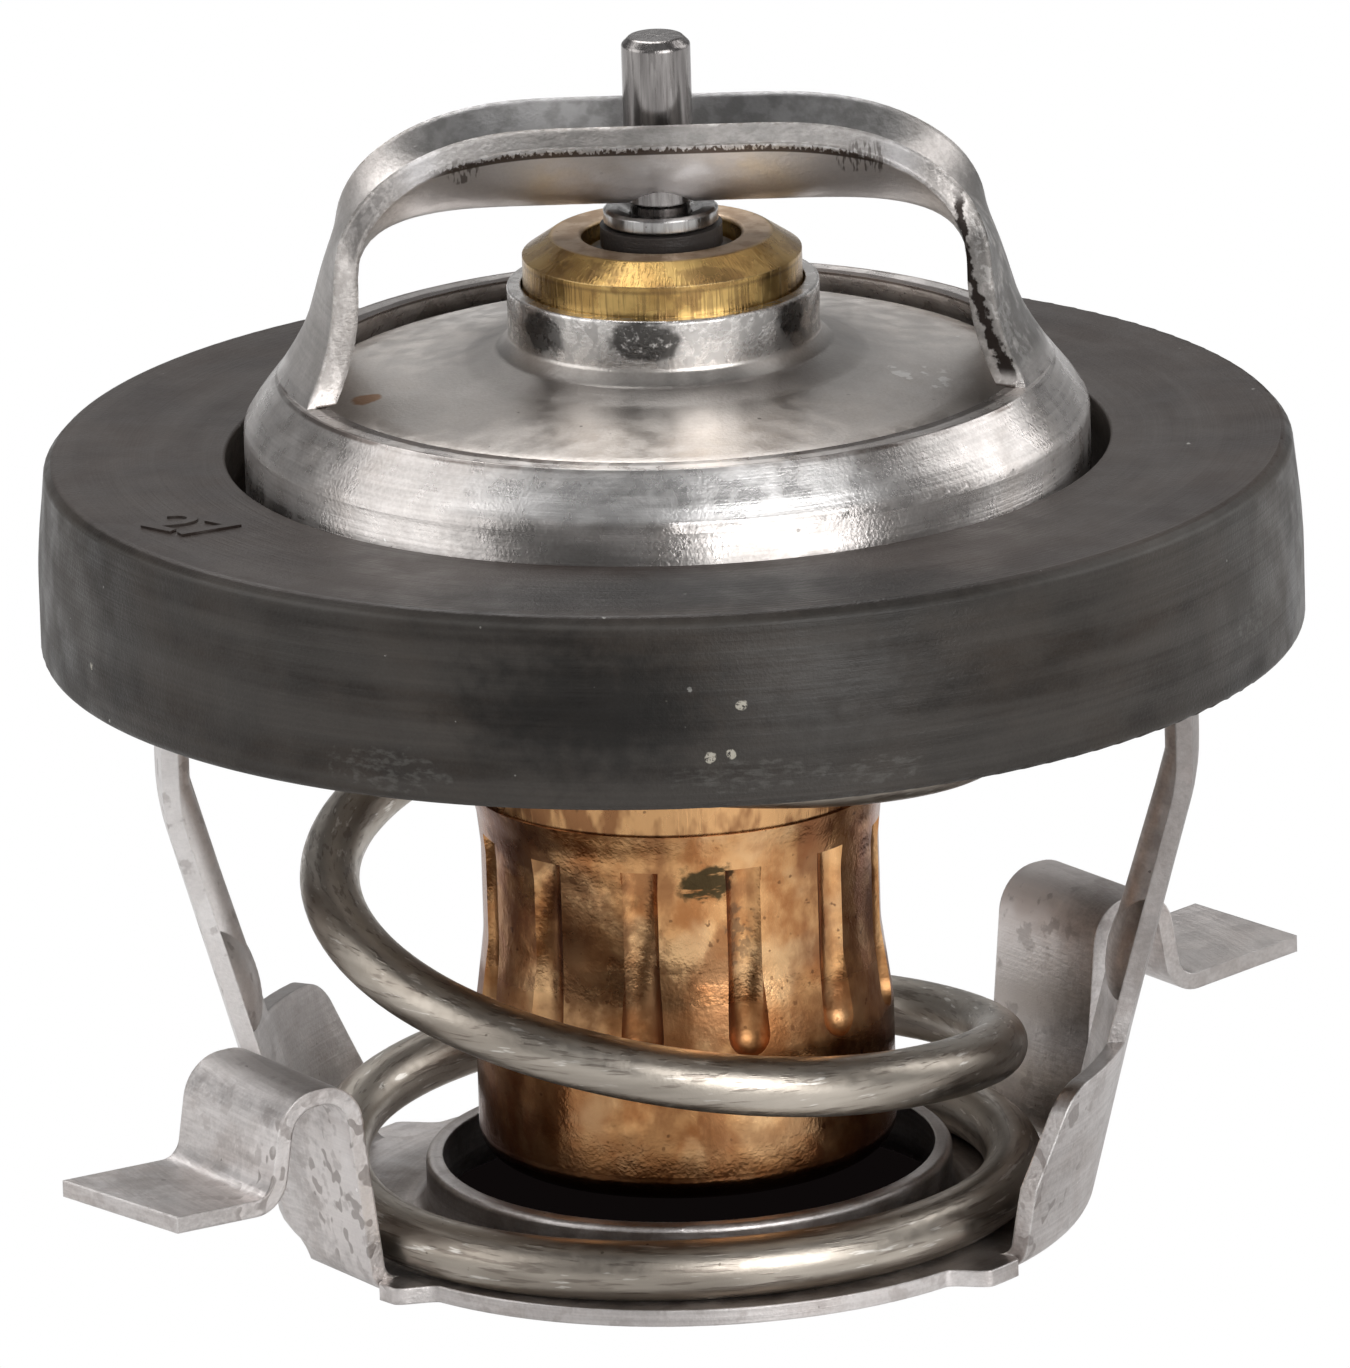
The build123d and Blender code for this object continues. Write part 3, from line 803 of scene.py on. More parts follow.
def flange_finish():
    f = sheet_metal("flange_steel", FLANGE_GREYS, roughness=0.30, anisotropy=0.80, edge_width=0.40,
                    edge_shine=0.30, edge_from=SEAT_TOP - 0.1)
    bridge = smooth(f.height, *BRIDGE_STARTS)
    torn = cloud(f, size=0.35, level=0.52, soft=0.05, stretch=(1.0, 0.5, 0.5))
    f.lay(both(f.edge, bridge, torn), 0.55, TORN_BROWN)
    axes = add(f.tree, "SeparateXYZ")
    feed(axes.inputs[0], f.place)
    x, y, z = axes.outputs
    sideways = unsigned(x)
    seat_lines(f)
    front = bridge_front(f, bridge, y, z, sideways)
    cut_faces(f, bridge, sideways)
    bridge_top(f, bridge, front)
    arms(f, bridge, x, y, z)
    skirt(f)
    f.roughen(bridge, 0.20)
    bump(f, smooth(f.height, SKIRT_LIP, SKIRT_BOTTOM), depth=SKIRT_BOW)
    return f.done()


dress("bridge_flange", flange_finish())

# %% [markdown]
# ### Lower cage
# The cage is a second, thinner pressing: it holds the spring's foot, and its straps go up to the flange.
# It is matt, slightly mauve and stained, with bright sheared edges that also carry a painted highlight.
# Its marks sit at known places, so a table of spots holds them and the finish lays them in turn.

# %% Lower cage
CAGE_GREYS = (rgb(0.53, 0.49, 0.475), rgb(0.67, 0.63, 0.615), rgb(0.44, 0.38, 0.35))
CAGE_MARKS = {
    # name: middle, reach, raggedness, softness
    "bright_strap": ((-21.0, -3.5, 18.0), (4.0, 4.0, 15.0), 0.2, 0.3),
    "left_leg": ((-15.5, -13.0, 4.5), (5.0, 6.0, 5.5), 0.3),
    "right_leg": ((16.0, -12.0, 5.5), (4.5, 5.0, 6.0), 0.3),
    "far_leg": ((14.5, 10.5, 9.0), (4.5, 5.0, 7.0), 0.2, 0.4),
    "dark_ear": ((-17.5, 5.5, 5.5), (4.0, 5.5, 6.0), 0.2, 0.4),
    "dark_strap": ((21.5, -3.5, 20.0), (4.0, 3.0, 16.0), 0.2, 0.4),
    "left_foot": ((-23.8, -11.4, 4.4), (2.8, 2.2, 2.0), 0.5, 0.4),
    "right_foot": ((24.7, 11.7, 8.0), (4.5, 4.5, 3.0), 0.3, 0.4),
}
UPWARDS = (0.0, 0.0, 1.0)
ARCH_HEIGHT = (6.5, 8.0)
STRAP_HEIGHT = (9.0, 11.0)
STRAP_RADIUS = (16.5, 17.5)
STRAP_PAINTED_LIGHT = rgb(0.93, 0.91, 0.90)
LEG_PAINTED_LIGHT = rgb(0.93, 0.88, 0.86)
DARK_PATCH_GREY = rgb(0.24, 0.22, 0.21)
BLOT_BROWN = rgb(0.24, 0.205, 0.19)
LEFT_FOOT_BROWN = rgb(0.27, 0.225, 0.20)
RIGHT_FOOT_GREY = rgb(0.33, 0.30, 0.28)
SPATTER_GREY = rgb(0.40, 0.36, 0.345)
ARCH_PAINTED_REFLECTION = rgb(0.25, 0.23, 0.22)


def cage_finish():
    f = sheet_metal("cage_steel", CAGE_GREYS, roughness=0.38, anisotropy=0.0, edge_width=0.14,
                    edge_shine=0.65)
    marks = {name: spot(f, *mark) for name, mark in CAGE_MARKS.items()}
    # Painted light: the whole left strap is lightened.
    f.lay(marks["bright_strap"], 0.6, STRAP_PAINTED_LIGHT)
    # Painted light: the left leg and the far leg are lightened, the far one where the spring's shadow falls.
    f.lay(either(scaled(marks["left_leg"], 0.5), marks["far_leg"]), 0.90, LEG_PAINTED_LIGHT)
    # The far ear and the right strap are darkened.
    f.lay(either(marks["dark_ear"], marks["dark_strap"]), 0.65, DARK_PATCH_GREY)
    legs = either(marks["left_leg"], marks["right_leg"])
    blots = cloud(f, size=0.8, level=0.60, soft=0.02, stretch=(1.0, 1.0, 1.3), detail=1.0)
    f.lay(both(legs, blots), 0.62, BLOT_BROWN)
    f.lay(marks["left_foot"], 0.5, LEFT_FOOT_BROWN)
    f.lay(marks["right_foot"], 0.40, RIGHT_FOOT_GREY)
    f.lay(cloud(f, size=1.1, level=0.6, soft=0.04), 0.45, SPATTER_GREY)
    # Painted reflection: the arches' upward faces are darkened as if mirroring the dark ring above.
    arches = both(facing(f, UPWARDS, 0.70, 0.98), smooth(f.height, *ARCH_HEIGHT))
    f.lay(arches, 0.40, ARCH_PAINTED_REFLECTION)
    straps = both(smooth(f.height, *STRAP_HEIGHT), smooth(f.radius, *STRAP_RADIUS))
    f.roughen(straps, 0.28)
    return f.done()


dress("lower_cage", cage_finish())

# %% [markdown]
# ### Valve disc
# The disc is the moving valve: a pressed plate with a collar that is crimped round the brass guide.
# It is warm and smooth, with painted shade round the collar's foot, and its collar is mottled like zinc.
# Crimping left three dull patches on the collar, and single spots put them where they belong.

# %% Valve disc
PLATE_GREYS = (rgb(0.56, 0.52, 0.485), rgb(0.63, 0.585, 0.545), rgb(0.53, 0.48, 0.44))
PLATE_MARKS = {
    # name: middle, reach, raggedness, softness
    "dull_front": ((-0.9, -6.8, 42.3), (1.7, 1.4, 1.0), 0.2),
    "dull_left": ((-5.3, -4.4, 42.2), (1.5, 1.4, 1.0), 0.35),
    "dull_right": ((5.6, -4.0, 42.4), (1.2, 1.0, 0.8), 0.35),
    "right_side": ((13.0, -4.0, 39.0), (5.0, 6.5, 2.5), 0.2, 0.5),
    "back": ((-2.0, 11.5, 39.2), (13.0, 5.0, 2.5), 0.2, 0.5),
    "chip": ((-13.2, -3.4, 39.0), (0.75, 0.75, 0.5), 0.25),
    "swirl": ((10.8, -3.2, 38.9), (2.2, 2.2, 1.0), 0.5),
}
COLLAR_HEIGHT = (COLLAR_TOP - 2.3, COLLAR_TOP - 1.9)
BELOW_COLLAR = (COLLAR_TOP - 2.2, COLLAR_TOP - 3.0)
SHADE_RADIUS = (8.0, 12.2)
SHADE_WANDER = 0.8
PLATE_SHADE = rgb(0.20, 0.185, 0.175)
COLLAR_BRIGHT = rgb(0.90, 0.885, 0.87)
ZINC_DARK = rgb(0.17, 0.16, 0.155)
BARE_FRONT = rgb(0.085, 0.08, 0.075)
BARE_SIDES = rgb(0.13, 0.125, 0.12)
RIGHT_SIDE_SHADE = rgb(0.28, 0.26, 0.25)
BACK_PAINTED_LIGHT = rgb(0.93, 0.90, 0.87)
CHIP_RUST = rgb(0.42, 0.24, 0.13)
SWIRL_BRIGHT = rgb(0.93, 0.92, 0.90)


def plate_finish():
    f = sheet_metal("plate_steel", PLATE_GREYS, roughness=0.36, anisotropy=0.15, edge_width=0.12,
                    edge_shine=0.5, drawing=0.25)
    marks = {name: spot(f, *mark) for name, mark in PLATE_MARKS.items()}
    collar = smooth(f.height, *COLLAR_HEIGHT)
    below = smooth(f.height, *BELOW_COLLAR)
    wavy_radius = plus(f.radius, times(cloud(f, size=3.0, soft=0.3), SHADE_WANDER))
    shade = smooth(wavy_radius, *SHADE_RADIUS, bottom=1.0, top=0.0)
    # Painted shade on the disc round the collar's foot.
    f.lay(both(shade, below), 0.74, PLATE_SHADE)
    zinc = both(collar, cloud(f, size=0.55, soft=0.07))
    f.lay(collar, 0.5, COLLAR_BRIGHT)
    f.lay(zinc, 0.42, ZINC_DARK)
    f.lay(both(marks["dull_front"], cloud(f, size=0.3, level=0.38, soft=0.08)), 0.93, BARE_FRONT)
    f.lay(either(marks["dull_left"], marks["dull_right"]), 0.8, BARE_SIDES)
    # Painted shade on the disc's right side, and painted light on its back.
    f.lay(marks["right_side"], 0.35, RIGHT_SIDE_SHADE)
    f.lay(marks["back"], 0.5, BACK_PAINTED_LIGHT)
    f.colour = mix(marks["chip"], f.colour, CHIP_RUST)
    f.lay(both(marks["swirl"], cloud(f, size=0.8, level=0.56, soft=0.03)), 0.45, SWIRL_BRIGHT)
    f.roughen(zinc, 0.12)
    f.rough = minus(f.rough, scaled(collar, 0.15))
    return f.done()


dress("valve_plate", plate_finish())

# %% [markdown]
# ### Brass guide
# The guide is turned from brass bar, and the pin slides through its middle.
# Fitting left fine upright scratches on its cylinder, a dark crease runs round under the bevel, and
# its flat top is dull.
# Its skirt goes down inside the seal ring to the copper cup, and has the copper's colour there.
# Brass is painted darker where it is seen at a slant, a painted shade that Layer Weight gives without any
# picture.

# %% Brass guide
def slant(f, blend):
    """Where the surface is seen at a slant."""
    node = add(f.tree, "LayerWeight")
    node.inputs["Blend"].default_value = blend
    return node.outputs["Facing"]


BRASS_EDGE = 0.00008
CYLINDER_HEIGHT = (GUIDE_TOP - 0.95, GUIDE_TOP - 1.15)
CREASE_HEIGHT, CREASE_WIDTH = GUIDE_TOP - 1.1, 0.14
TOP_HEIGHT = (GUIDE_TOP - 0.2, GUIDE_TOP - 0.02)
TOP_RADIUS = (5.0, 4.7)
COPPERY_BELOW = (30.0, 28.0)
BRASS_STAIN = ((2.3, -5.5, 44.75), (1.9, 1.4, 0.45), 0.35)
BRASS_DARK = rgb(0.43, 0.265, 0.09)
BRASS_LIGHT = rgb(0.67, 0.45, 0.165)
BRASS_SCRATCH = rgb(0.22, 0.14, 0.06)
BRASS_TARNISH = rgb(0.26, 0.15, 0.06)
BRASS_CREASE = rgb(0.20, 0.12, 0.05)
BRASS_TOP_DARK = rgb(0.44, 0.32, 0.22)
BRASS_TOP_LIGHT = rgb(0.66, 0.52, 0.39)
SKIRT_LIGHT = rgb(0.74, 0.42, 0.19)
SKIRT_DARK = rgb(0.34, 0.16, 0.07)
BRASS_SPECK = rgb(0.15, 0.08, 0.04)
BRASS_RUBBED_HIGHLIGHT = rgb(0.95, 0.80, 0.48)
BRASS_SLANT_SHADE = rgb(0.17, 0.10, 0.05)


def brass_finish():
    f = Finish("guide_brass", metallic=1.0, roughness=0.27)
    patches = cloud(f, size=1.8, soft=0.15)
    f.colour = mix(patches, BRASS_DARK, BRASS_LIGHT)
    scratches = rings(f, size=0.20, level=0.55, soft=0.08, stretch=(1.0, 3.0, 14.0))
    cylinder = smooth(f.height, *CYLINDER_HEIGHT)
    f.lay(both(scratches, cylinder), 0.55, BRASS_SCRATCH)
    f.lay(either(spot(f, *BRASS_STAIN), cloud(f, size=1.4, level=0.60, soft=0.05)), 0.65, BRASS_TARNISH)
    crease = smooth(unsigned(minus(f.height, CREASE_HEIGHT)), 0.0, CREASE_WIDTH, bottom=1.0, top=0.0)
    f.lay(crease, 0.55, BRASS_CREASE)
    top = both(smooth(f.height, *TOP_HEIGHT), smooth(f.radius, *TOP_RADIUS))
    f.colour = mix(top, f.colour, mix(cloud(f, size=1.1, soft=0.12), BRASS_TOP_DARK, BRASS_TOP_LIGHT))
    skirt_colour = mix(cloud(f, size=1.6, soft=0.06, stretch=(1.0, 1.0, 2.5)), SKIRT_LIGHT, SKIRT_DARK)
    f.colour = mix(smooth(f.height, *COPPERY_BELOW), f.colour, skirt_colour)
    f.lay(flecks(f, cell=0.8, size=0.07, share=0.4), 0.6, BRASS_SPECK)
    # The rubbed coat on the edges is partly a painted highlight.
    round_edges(f, BRASS_EDGE, 0.4, BRASS_RUBBED_HIGHLIGHT)
    # Painted shade where the brass is seen at a slant.
    f.lay(slant(f, blend=0.30), 0.65, BRASS_SLANT_SHADE)
    f.rough = 0.24
    f.roughen(top, 0.22)
    f.roughen(patches, 0.06)
    bump(f, scratches, depth=0.006)
    turned(f, anisotropy=0.4)
    return f.done()


dress("guide_cap", brass_finish())

# %% [markdown]
# ### Copper cup
# The cup holds the wax and is pressed from copper, with flutes that let coolant reach round it.
# Heat and coolant left it mottled from gold to dark brown, with one scraped dark blotch above the middle.
# The sides are painted dark purple where they are seen at a slant, a painted shade in the colour of thin
# tarnish.
# Clouds of three sizes over each other look less regular than one cloud with much detail.

# %% Copper cup: paints and marks
LOW_STAIN_HEIGHT = (CUP_FOOT + 7.2, CUP_FOOT + 5.2)
FOOT_HEIGHT = (CUP_FOOT + 4.5, CUP_FOOT + 1.3)
FOOT_WANDER = 1.5
FLUTE_FOOT_HEIGHTS = (CUP_FOOT + 6.3, CUP_FOOT + 7.1, CUP_FOOT + 8.5, CUP_FOOT + 9.3)
CUP_MARKS = {
    # name: middle, reach, raggedness, softness
    "left": ((-4.6, -8.0, 15.0), (2.9, 3.4, 3.8), 0.6, 0.4),
    "streak": ((-1.0, -9.0, 12.2), (1.7, 1.8, 2.6), 0.6, 0.3),
    "corner": ((-7.3, -5.5, 19.2), (3.0, 2.5, 1.7), 0.5, 0.3),
    "low_left": ((-6.0, -7.5, 6.5), (4.0, 4.0, 3.5), 0.5, 0.4),
    "scrape": ((1.3, -8.9, 18.0), (1.55, 1.5, 0.95), 0.45),
    "trail": ((2.6, -8.6, 15.2), (0.8, 1.0, 1.9), 0.5),
}
COPPER_DARK = rgb(0.46, 0.195, 0.07)
COPPER_LIGHT = rgb(0.75, 0.41, 0.175)
COPPER_GOLD = rgb(0.92, 0.62, 0.33)
COPPER_BROWN = rgb(0.29, 0.115, 0.045)
COPPER_STAIN = rgb(0.15, 0.062, 0.024)
COPPER_LOW = rgb(0.20, 0.075, 0.025)
COPPER_SCRAPE = rgb(0.05, 0.042, 0.02)
COPPER_TRAIL = rgb(0.16, 0.10, 0.06)
COPPER_SPECK = rgb(0.16, 0.07, 0.03)
COPPER_FINE_SPECK = rgb(0.12, 0.05, 0.02)
COPPER_FOOT = rgb(0.17, 0.065, 0.022)
COPPER_SLANT_SHADE = rgb(0.13, 0.05, 0.045)
FLUTE_FOOT_SHADE = rgb(0.30, 0.13, 0.05)


# %% Copper cup: stains
def copper_stains(f):
    """Dark stains on the left and round the bottom, a scrape and its trail, and specks."""
    marks = {name: spot(f, *mark) for name, mark in CUP_MARKS.items()}
    stains = either(either(marks["left"], marks["streak"]), marks["corner"])
    f.lay(stains, 0.78, COPPER_STAIN)
    patches = cloud(f, size=1.5, level=0.48, stretch=(1.0, 1.0, 1.2), detail=5.0)
    low = both(smooth(f.height, *LOW_STAIN_HEIGHT), patches)
    f.lay(either(low, marks["low_left"]), 0.45, COPPER_LOW)
    scrape = both(marks["scrape"], cloud(f, size=0.45, level=0.40, soft=0.06, stretch=(3.0, 1.0, 0.8)))
    f.lay(scrape, 0.95, COPPER_SCRAPE)
    f.lay(both(marks["trail"], cloud(f, size=0.5, level=0.48, soft=0.05)), 0.6, COPPER_TRAIL)
    f.lay(flecks(f, cell=1.1, size=0.14, share=0.55), 0.75, COPPER_SPECK)
    f.lay(flecks(f, cell=0.6, size=0.08, share=0.6), 0.6, COPPER_FINE_SPECK)
    return stains, scrape


# %% Copper cup: the whole finish
def copper_finish():
    f = Finish("cup_copper", metallic=1.0, roughness=0.26)
    mottle = cloud(f, size=1.5, soft=0.14, stretch=(1.0, 1.0, 1.3), detail=6.0)
    f.colour = mix(mottle, COPPER_DARK, COPPER_LIGHT)
    f.lay(cloud(f, size=3.4, level=0.53), 0.6, COPPER_GOLD)
    f.lay(cloud(f, size=2.8, level=0.55, soft=0.06, stretch=(1.0, 1.0, 1.6), detail=5.0), 0.72, COPPER_BROWN)
    stains, scrape = copper_stains(f)
    foot = smooth(plus(f.height, times(cloud(f, size=1.6, soft=0.3), FOOT_WANDER)), *FOOT_HEIGHT)
    f.lay(foot, 0.75, COPPER_FOOT)
    # Painted shade where the cup is seen at a slant.
    f.lay(slant(f, blend=0.36), 0.85, COPPER_SLANT_SHADE)
    flute_foot = band(f.height, *FLUTE_FOOT_HEIGHTS)
    # Painted shade in the flutes' rounded ends, which dims their bright reflections.
    f.lay(flute_foot, 0.35, FLUTE_FOOT_SHADE)
    f.rough = 0.19
    f.roughen(mottle, 0.07)
    f.roughen(flute_foot, 0.20)
    f.roughen(either(scaled(stains, 0.4), scrape), 0.18)
    bump(f, plus(cloud(f, size=0.9, soft=0.4), scaled(cloud(f, size=0.15, soft=0.3), 0.25)), depth=0.020)
    return f.done()


dress("copper_cup", copper_finish())

# %% [markdown]
# ### Spring wire
# The spring presses the disc onto its seat, and it is coiled from drawn steel wire.
# The coiling rollers left dark dashes and rubbed streaks along the wire.
# The wire runs nearly round the axis, so clouds on the unrolled places lie along it with no texture map.

# %% Spring wire
WIRE_DARK = rgb(0.34, 0.30, 0.255)
WIRE_LIGHT = rgb(0.50, 0.45, 0.39)
WIRE_DASH = rgb(0.15, 0.12, 0.10)
WIRE_RUBBED = rgb(0.88, 0.85, 0.80)
WIRE_SPECK = rgb(0.10, 0.08, 0.06)


def spring_finish():
    f = Finish("spring_steel", metallic=1.0, roughness=0.34)
    f.colour = mix(rings(f, size=1.2, soft=0.15, stretch=(6.0, 1.0, 1.0)), WIRE_DARK, WIRE_LIGHT)
    dashes = rings(f, size=0.22, level=0.60, soft=0.06, stretch=(9.0, 1.0, 1.0))
    f.lay(dashes, 0.55, WIRE_DASH)
    f.lay(rings(f, size=0.30, level=0.66, soft=0.04, stretch=(5.0, 1.0, 1.0)), 0.6, WIRE_RUBBED)
    f.lay(flecks(f, cell=1.0, size=0.08, share=0.4), 0.6, WIRE_SPECK)
    f.rough = 0.31
    f.roughen(cloud(f, size=0.5, soft=0.2), 0.10)
    bump(f, plus(dashes, scaled(cloud(f, size=0.12, soft=0.3), 0.5)), depth=0.006)
    return f.done()


dress("main_spring", spring_finish())

# %% [markdown]
# ### Rubber
# The seal ring and the two rubbers inside are moulded from black rubber.
# Rubber is no metal: its Metallic is 0, and a low Specular IOR Level keeps its sheen weak.
# It is charcoal with pale smudges, faint rings, a few light specks and a paler top rim that is wear and a
# painted highlight.
# One function makes the rubber, and the outer ring adds its own marks.

# %% Rubber
RUBBER_SHEEN = 0.25
TOP_FACE_HEIGHT = (RING_TOP - 0.2, RING_TOP - 0.02)
RIM_HEIGHT = (RING_TOP - 0.6, RING_TOP - 0.3)
RIM_RADIUS = (27.45, 27.62)
SMEAR_GREY = rgb(0.088, 0.080, 0.072)
DUST_GREY = rgb(0.055, 0.048, 0.042)
RING_BLACK = rgb(0.016, 0.014, 0.012)
RUBBER_GRAIN = rgb(0.09, 0.085, 0.08)
RING_TOP_GREY = rgb(0.062, 0.044, 0.039)
LARGE_CRUMB = rgb(0.42, 0.41, 0.38)
SMALL_CRUMB = rgb(0.30, 0.29, 0.27)
RIM_WEAR_AND_SHEEN = rgb(0.17, 0.165, 0.155)


def rubber(name, base, dusty):
    """Moulded rubber in two blacks."""
    f = Finish(name, metallic=0.0, roughness=0.45)
    f.shader.inputs["Specular IOR Level"].default_value = RUBBER_SHEEN
    grain = cloud(f, size=0.14, soft=0.3)
    moulding = rings(f, size=0.4, soft=0.18, stretch=(30.0, 0.6, 0.6))
    f.colour = mix(cloud(f, size=5.0, soft=0.15), base, dusty)
    f.lay(rings(f, size=2.4, level=0.54, soft=0.12, stretch=(4.0, 1.0, 0.7)), 0.40, SMEAR_GREY)
    f.lay(cloud(f, size=1.9, level=0.53, soft=0.12, stretch=(2.2, 1.0, 1.0), detail=5.0), 0.35, DUST_GREY)
    f.lay(moulding, 0.25, RING_BLACK)
    f.lay(grain, 0.12, RUBBER_GRAIN)
    f.lay(smooth(f.height, *TOP_FACE_HEIGHT), 0.30, RING_TOP_GREY)
    f.lay(flecks(f, cell=3.2, size=0.11, share=0.30), 0.8, LARGE_CRUMB)
    f.lay(flecks(f, cell=1.2, size=0.05, share=0.35), 0.6, SMALL_CRUMB)
    # A paler line round the top rim, worn and a painted highlight.
    f.lay(both(smooth(f.radius, *RIM_RADIUS), smooth(f.height, *RIM_HEIGHT)), 0.3, RIM_WEAR_AND_SHEEN)
    f.rough = 0.33
    f.roughen(cloud(f, size=2.2, soft=0.2), 0.18)
    bump(f, plus(grain, moulding), depth=0.010)
    return f


# %% [markdown]
# ### Seal ring
# The ring seals the housing, and it is the piece that is handled most.
# It has scuffs round its lower edge, a painted highlight on its side, painted shade on its front and top, and
# a few crumbs of grit.
# Loops over two short tables lay the scuffs and the crumbs, which saves a line for every mark.

# %% Seal ring
SEAL_BLACKS = (rgb(0.0100, 0.0062, 0.0038), rgb(0.029, 0.0205, 0.0145))
SCUFFS = (
    # middle and reach
    ((-12.5, -25.0, 28.6), (3.2, 3.0, 0.9)),
    ((3.2, -27.8, 28.7), (3.6, 2.0, 0.7)),
    ((8.5, -26.7, 28.4), (2.2, 2.0, 0.6)),
    ((25.3, -12.0, 30.3), (1.0, 1.6, 1.0)),
)
CRUMBS = (
    # middle and size
    ((2.83, -27.86, 31.9), 0.16),
    ((1.4, -27.97, 29.6), 0.20),
    ((2.3, -27.9, 29.7), 0.13),
    ((-0.4, -28.0, 32.2), 0.10),
    ((-25.5, -11.6, 29.7), 0.11),
)
SIDE_HIGHLIGHT = ((5.9, -27.4, 32.5), (4.2, 4.0, 2.3), 0.4, 0.6)
FRONT_SHADE = ((-3.5, -27.6, 32.0), (5.5, 4.0, 3.0), 0.4, 0.6)
TOP_SHADE = ((2.0, -24.0, 35.8), (14.0, 3.2, 1.5), 0.2, 0.5)
SCUFF_GREY = rgb(0.12, 0.115, 0.105)
SIDE_HIGHLIGHT_GREY = rgb(0.085, 0.080, 0.075)
SHADE_BLACK = rgb(0.003, 0.0025, 0.002)
CRUMB_PALE = rgb(0.60, 0.56, 0.47)


def seal_finish():
    f = rubber("seal_rubber", *SEAL_BLACKS)
    for middle, reach in SCUFFS:
        scratched = cloud(f, size=0.3, level=0.56, soft=0.12, stretch=(2.5, 1.0, 0.8))
        f.lay(both(spot(f, middle, reach), scratched), 0.4, SCUFF_GREY)
    smeared = smooth(cloud(f, size=0.9, soft=0.3, stretch=(1.6, 1.0, 1.0)), 0.0, 1.0, bottom=0.5, top=1.0)
    # Painted highlight on the ring's side, with a smeared edge.
    f.lay(both(spot(f, *SIDE_HIGHLIGHT), smeared), 0.55, SIDE_HIGHLIGHT_GREY)
    # Painted shade on the ring's front and on the front of its top.
    f.lay(either(spot(f, *FRONT_SHADE), spot(f, *TOP_SHADE)), 0.75, SHADE_BLACK)
    broken = cloud(f, size=0.13, level=0.44, soft=0.07)
    for middle, size in CRUMBS:
        crumb = both(spot(f, middle, (1.5 * size, size, 1.4 * size), ragged=0.8), broken)
        f.lay(crumb, 0.65, CRUMB_PALE)
    return f.done()


seal_rubber = seal_finish()
dress("rubber_seal", seal_rubber)

# %% [markdown]
# ### Inner rubbers
# The wiper keeps dirt off the pin, and the boot keeps the wax off it.
# They are hardly seen, so they take the plain rubber with no marks of their own.

# %% Inner rubbers
INNER_BLACKS = (rgb(0.018, 0.018, 0.017), rgb(0.035, 0.034, 0.032))

dress("wiper_seal", rubber("wiper_rubber", *INNER_BLACKS).done())
dress("squeeze_boot", rubber("boot_rubber", *INNER_BLACKS).done())

# %% [markdown]
# ### Pin and washer
# The pin that pushes against the bridge is ground steel with faint upright streaks.
# The washer round it is the same steel, polished brighter.
# Both are made by one function that takes two greys, a roughness and how strong the streaks are.

# %% Pin and washer
PIN_GREYS = (rgb(0.22, 0.205, 0.20), rgb(0.36, 0.34, 0.33))
WASHER_GREYS = (rgb(0.30, 0.29, 0.285), rgb(0.46, 0.45, 0.44))
STEEL_EDGE = 0.0001
STEEL_SCRATCH = rgb(0.12, 0.11, 0.105)
STEEL_SPECK = rgb(0.12, 0.10, 0.09)
STEEL_RUBBED_HIGHLIGHT = rgb(0.85, 0.84, 0.83)


def ground_steel(name, greys, roughness, streaks):
    f = Finish(name, metallic=1.0, roughness=roughness)
    f.colour = mix(rings(f, size=0.8, soft=0.15, stretch=(3.0, 1.0, 6.0)), *greys)
    scratches = rings(f, size=0.18, level=0.56, soft=0.08, stretch=(6.0, 1.0, 12.0))
    f.lay(scratches, streaks, STEEL_SCRATCH)
    f.lay(flecks(f, cell=0.7, size=0.05, share=0.4), 0.6, STEEL_SPECK)
    # The rubbed coat on the edges is partly a painted highlight.
    round_edges(f, STEEL_EDGE, 0.4, STEEL_RUBBED_HIGHLIGHT)
    f.roughen(scratches, 0.08)
    bump(f, scratches, depth=0.003)
    return f.done()


dress("piston_pin", ground_steel("pin_steel", PIN_GREYS, roughness=0.20, streaks=0.45))
dress("washer", ground_steel("washer_steel", WASHER_GREYS, roughness=0.16, streaks=0.3))

# %% [markdown]
# ### Wax
# The wax fills the cup, is mixed with copper powder and can't be seen until the part is cut open.
# Two waxy yellows and small copper specks are enough for it.

# %% Wax
WAX_DARK = rgb(0.62, 0.52, 0.34)
WAX_LIGHT = rgb(0.75, 0.66, 0.47)
COPPER_POWDER = rgb(0.50, 0.24, 0.10)


def wax_finish():
    f = Finish("wax", metallic=0.0, roughness=0.55)
    f.colour = mix(cloud(f, size=1.0), WAX_DARK, WAX_LIGHT)
    f.lay(flecks(f, cell=0.4, size=0.05, share=0.6), 0.8, COPPER_POWDER)
    bump(f, cloud(f, size=0.4, soft=0.3), depth=0.02)
    return f.done()


dress("wax_charge", wax_finish())

# %% [markdown]
# ## Spring
# The valve disc pushes the spring together when it opens, and a solid's mesh can't be pushed together.
# So a copy of the wire, merged into one mesh, stands for the solid one and rides on the frame.

# %% Spring
MERGE_WITHIN = 0.000002


def merged_copy(source, name):
    """One connected, smooth mesh made from a solid's loose triangles."""
    piece = bpy.data.objects.new(name, source.data.copy())
    bpy.context.scene.collection.objects.link(piece)
    mesh = bmesh.new()
    mesh.from_mesh(piece.data)
    bmesh.ops.remove_doubles(mesh, verts=mesh.verts, dist=MERGE_WITHIN)
    bmesh.ops.recalc_face_normals(mesh, faces=mesh.faces)
    mesh.to_mesh(piece.data)
    mesh.free()
    for face in piece.data.polygons:
        face.use_smooth = True
    print("%s: %d vertices, was %d" % (name, len(piece.data.vertices), len(source.data.vertices)))
    return piece


coil = merged_copy(solids["main_spring"], "coil_spring")
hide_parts("main_spring")
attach(coil, "frame")
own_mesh(coil)

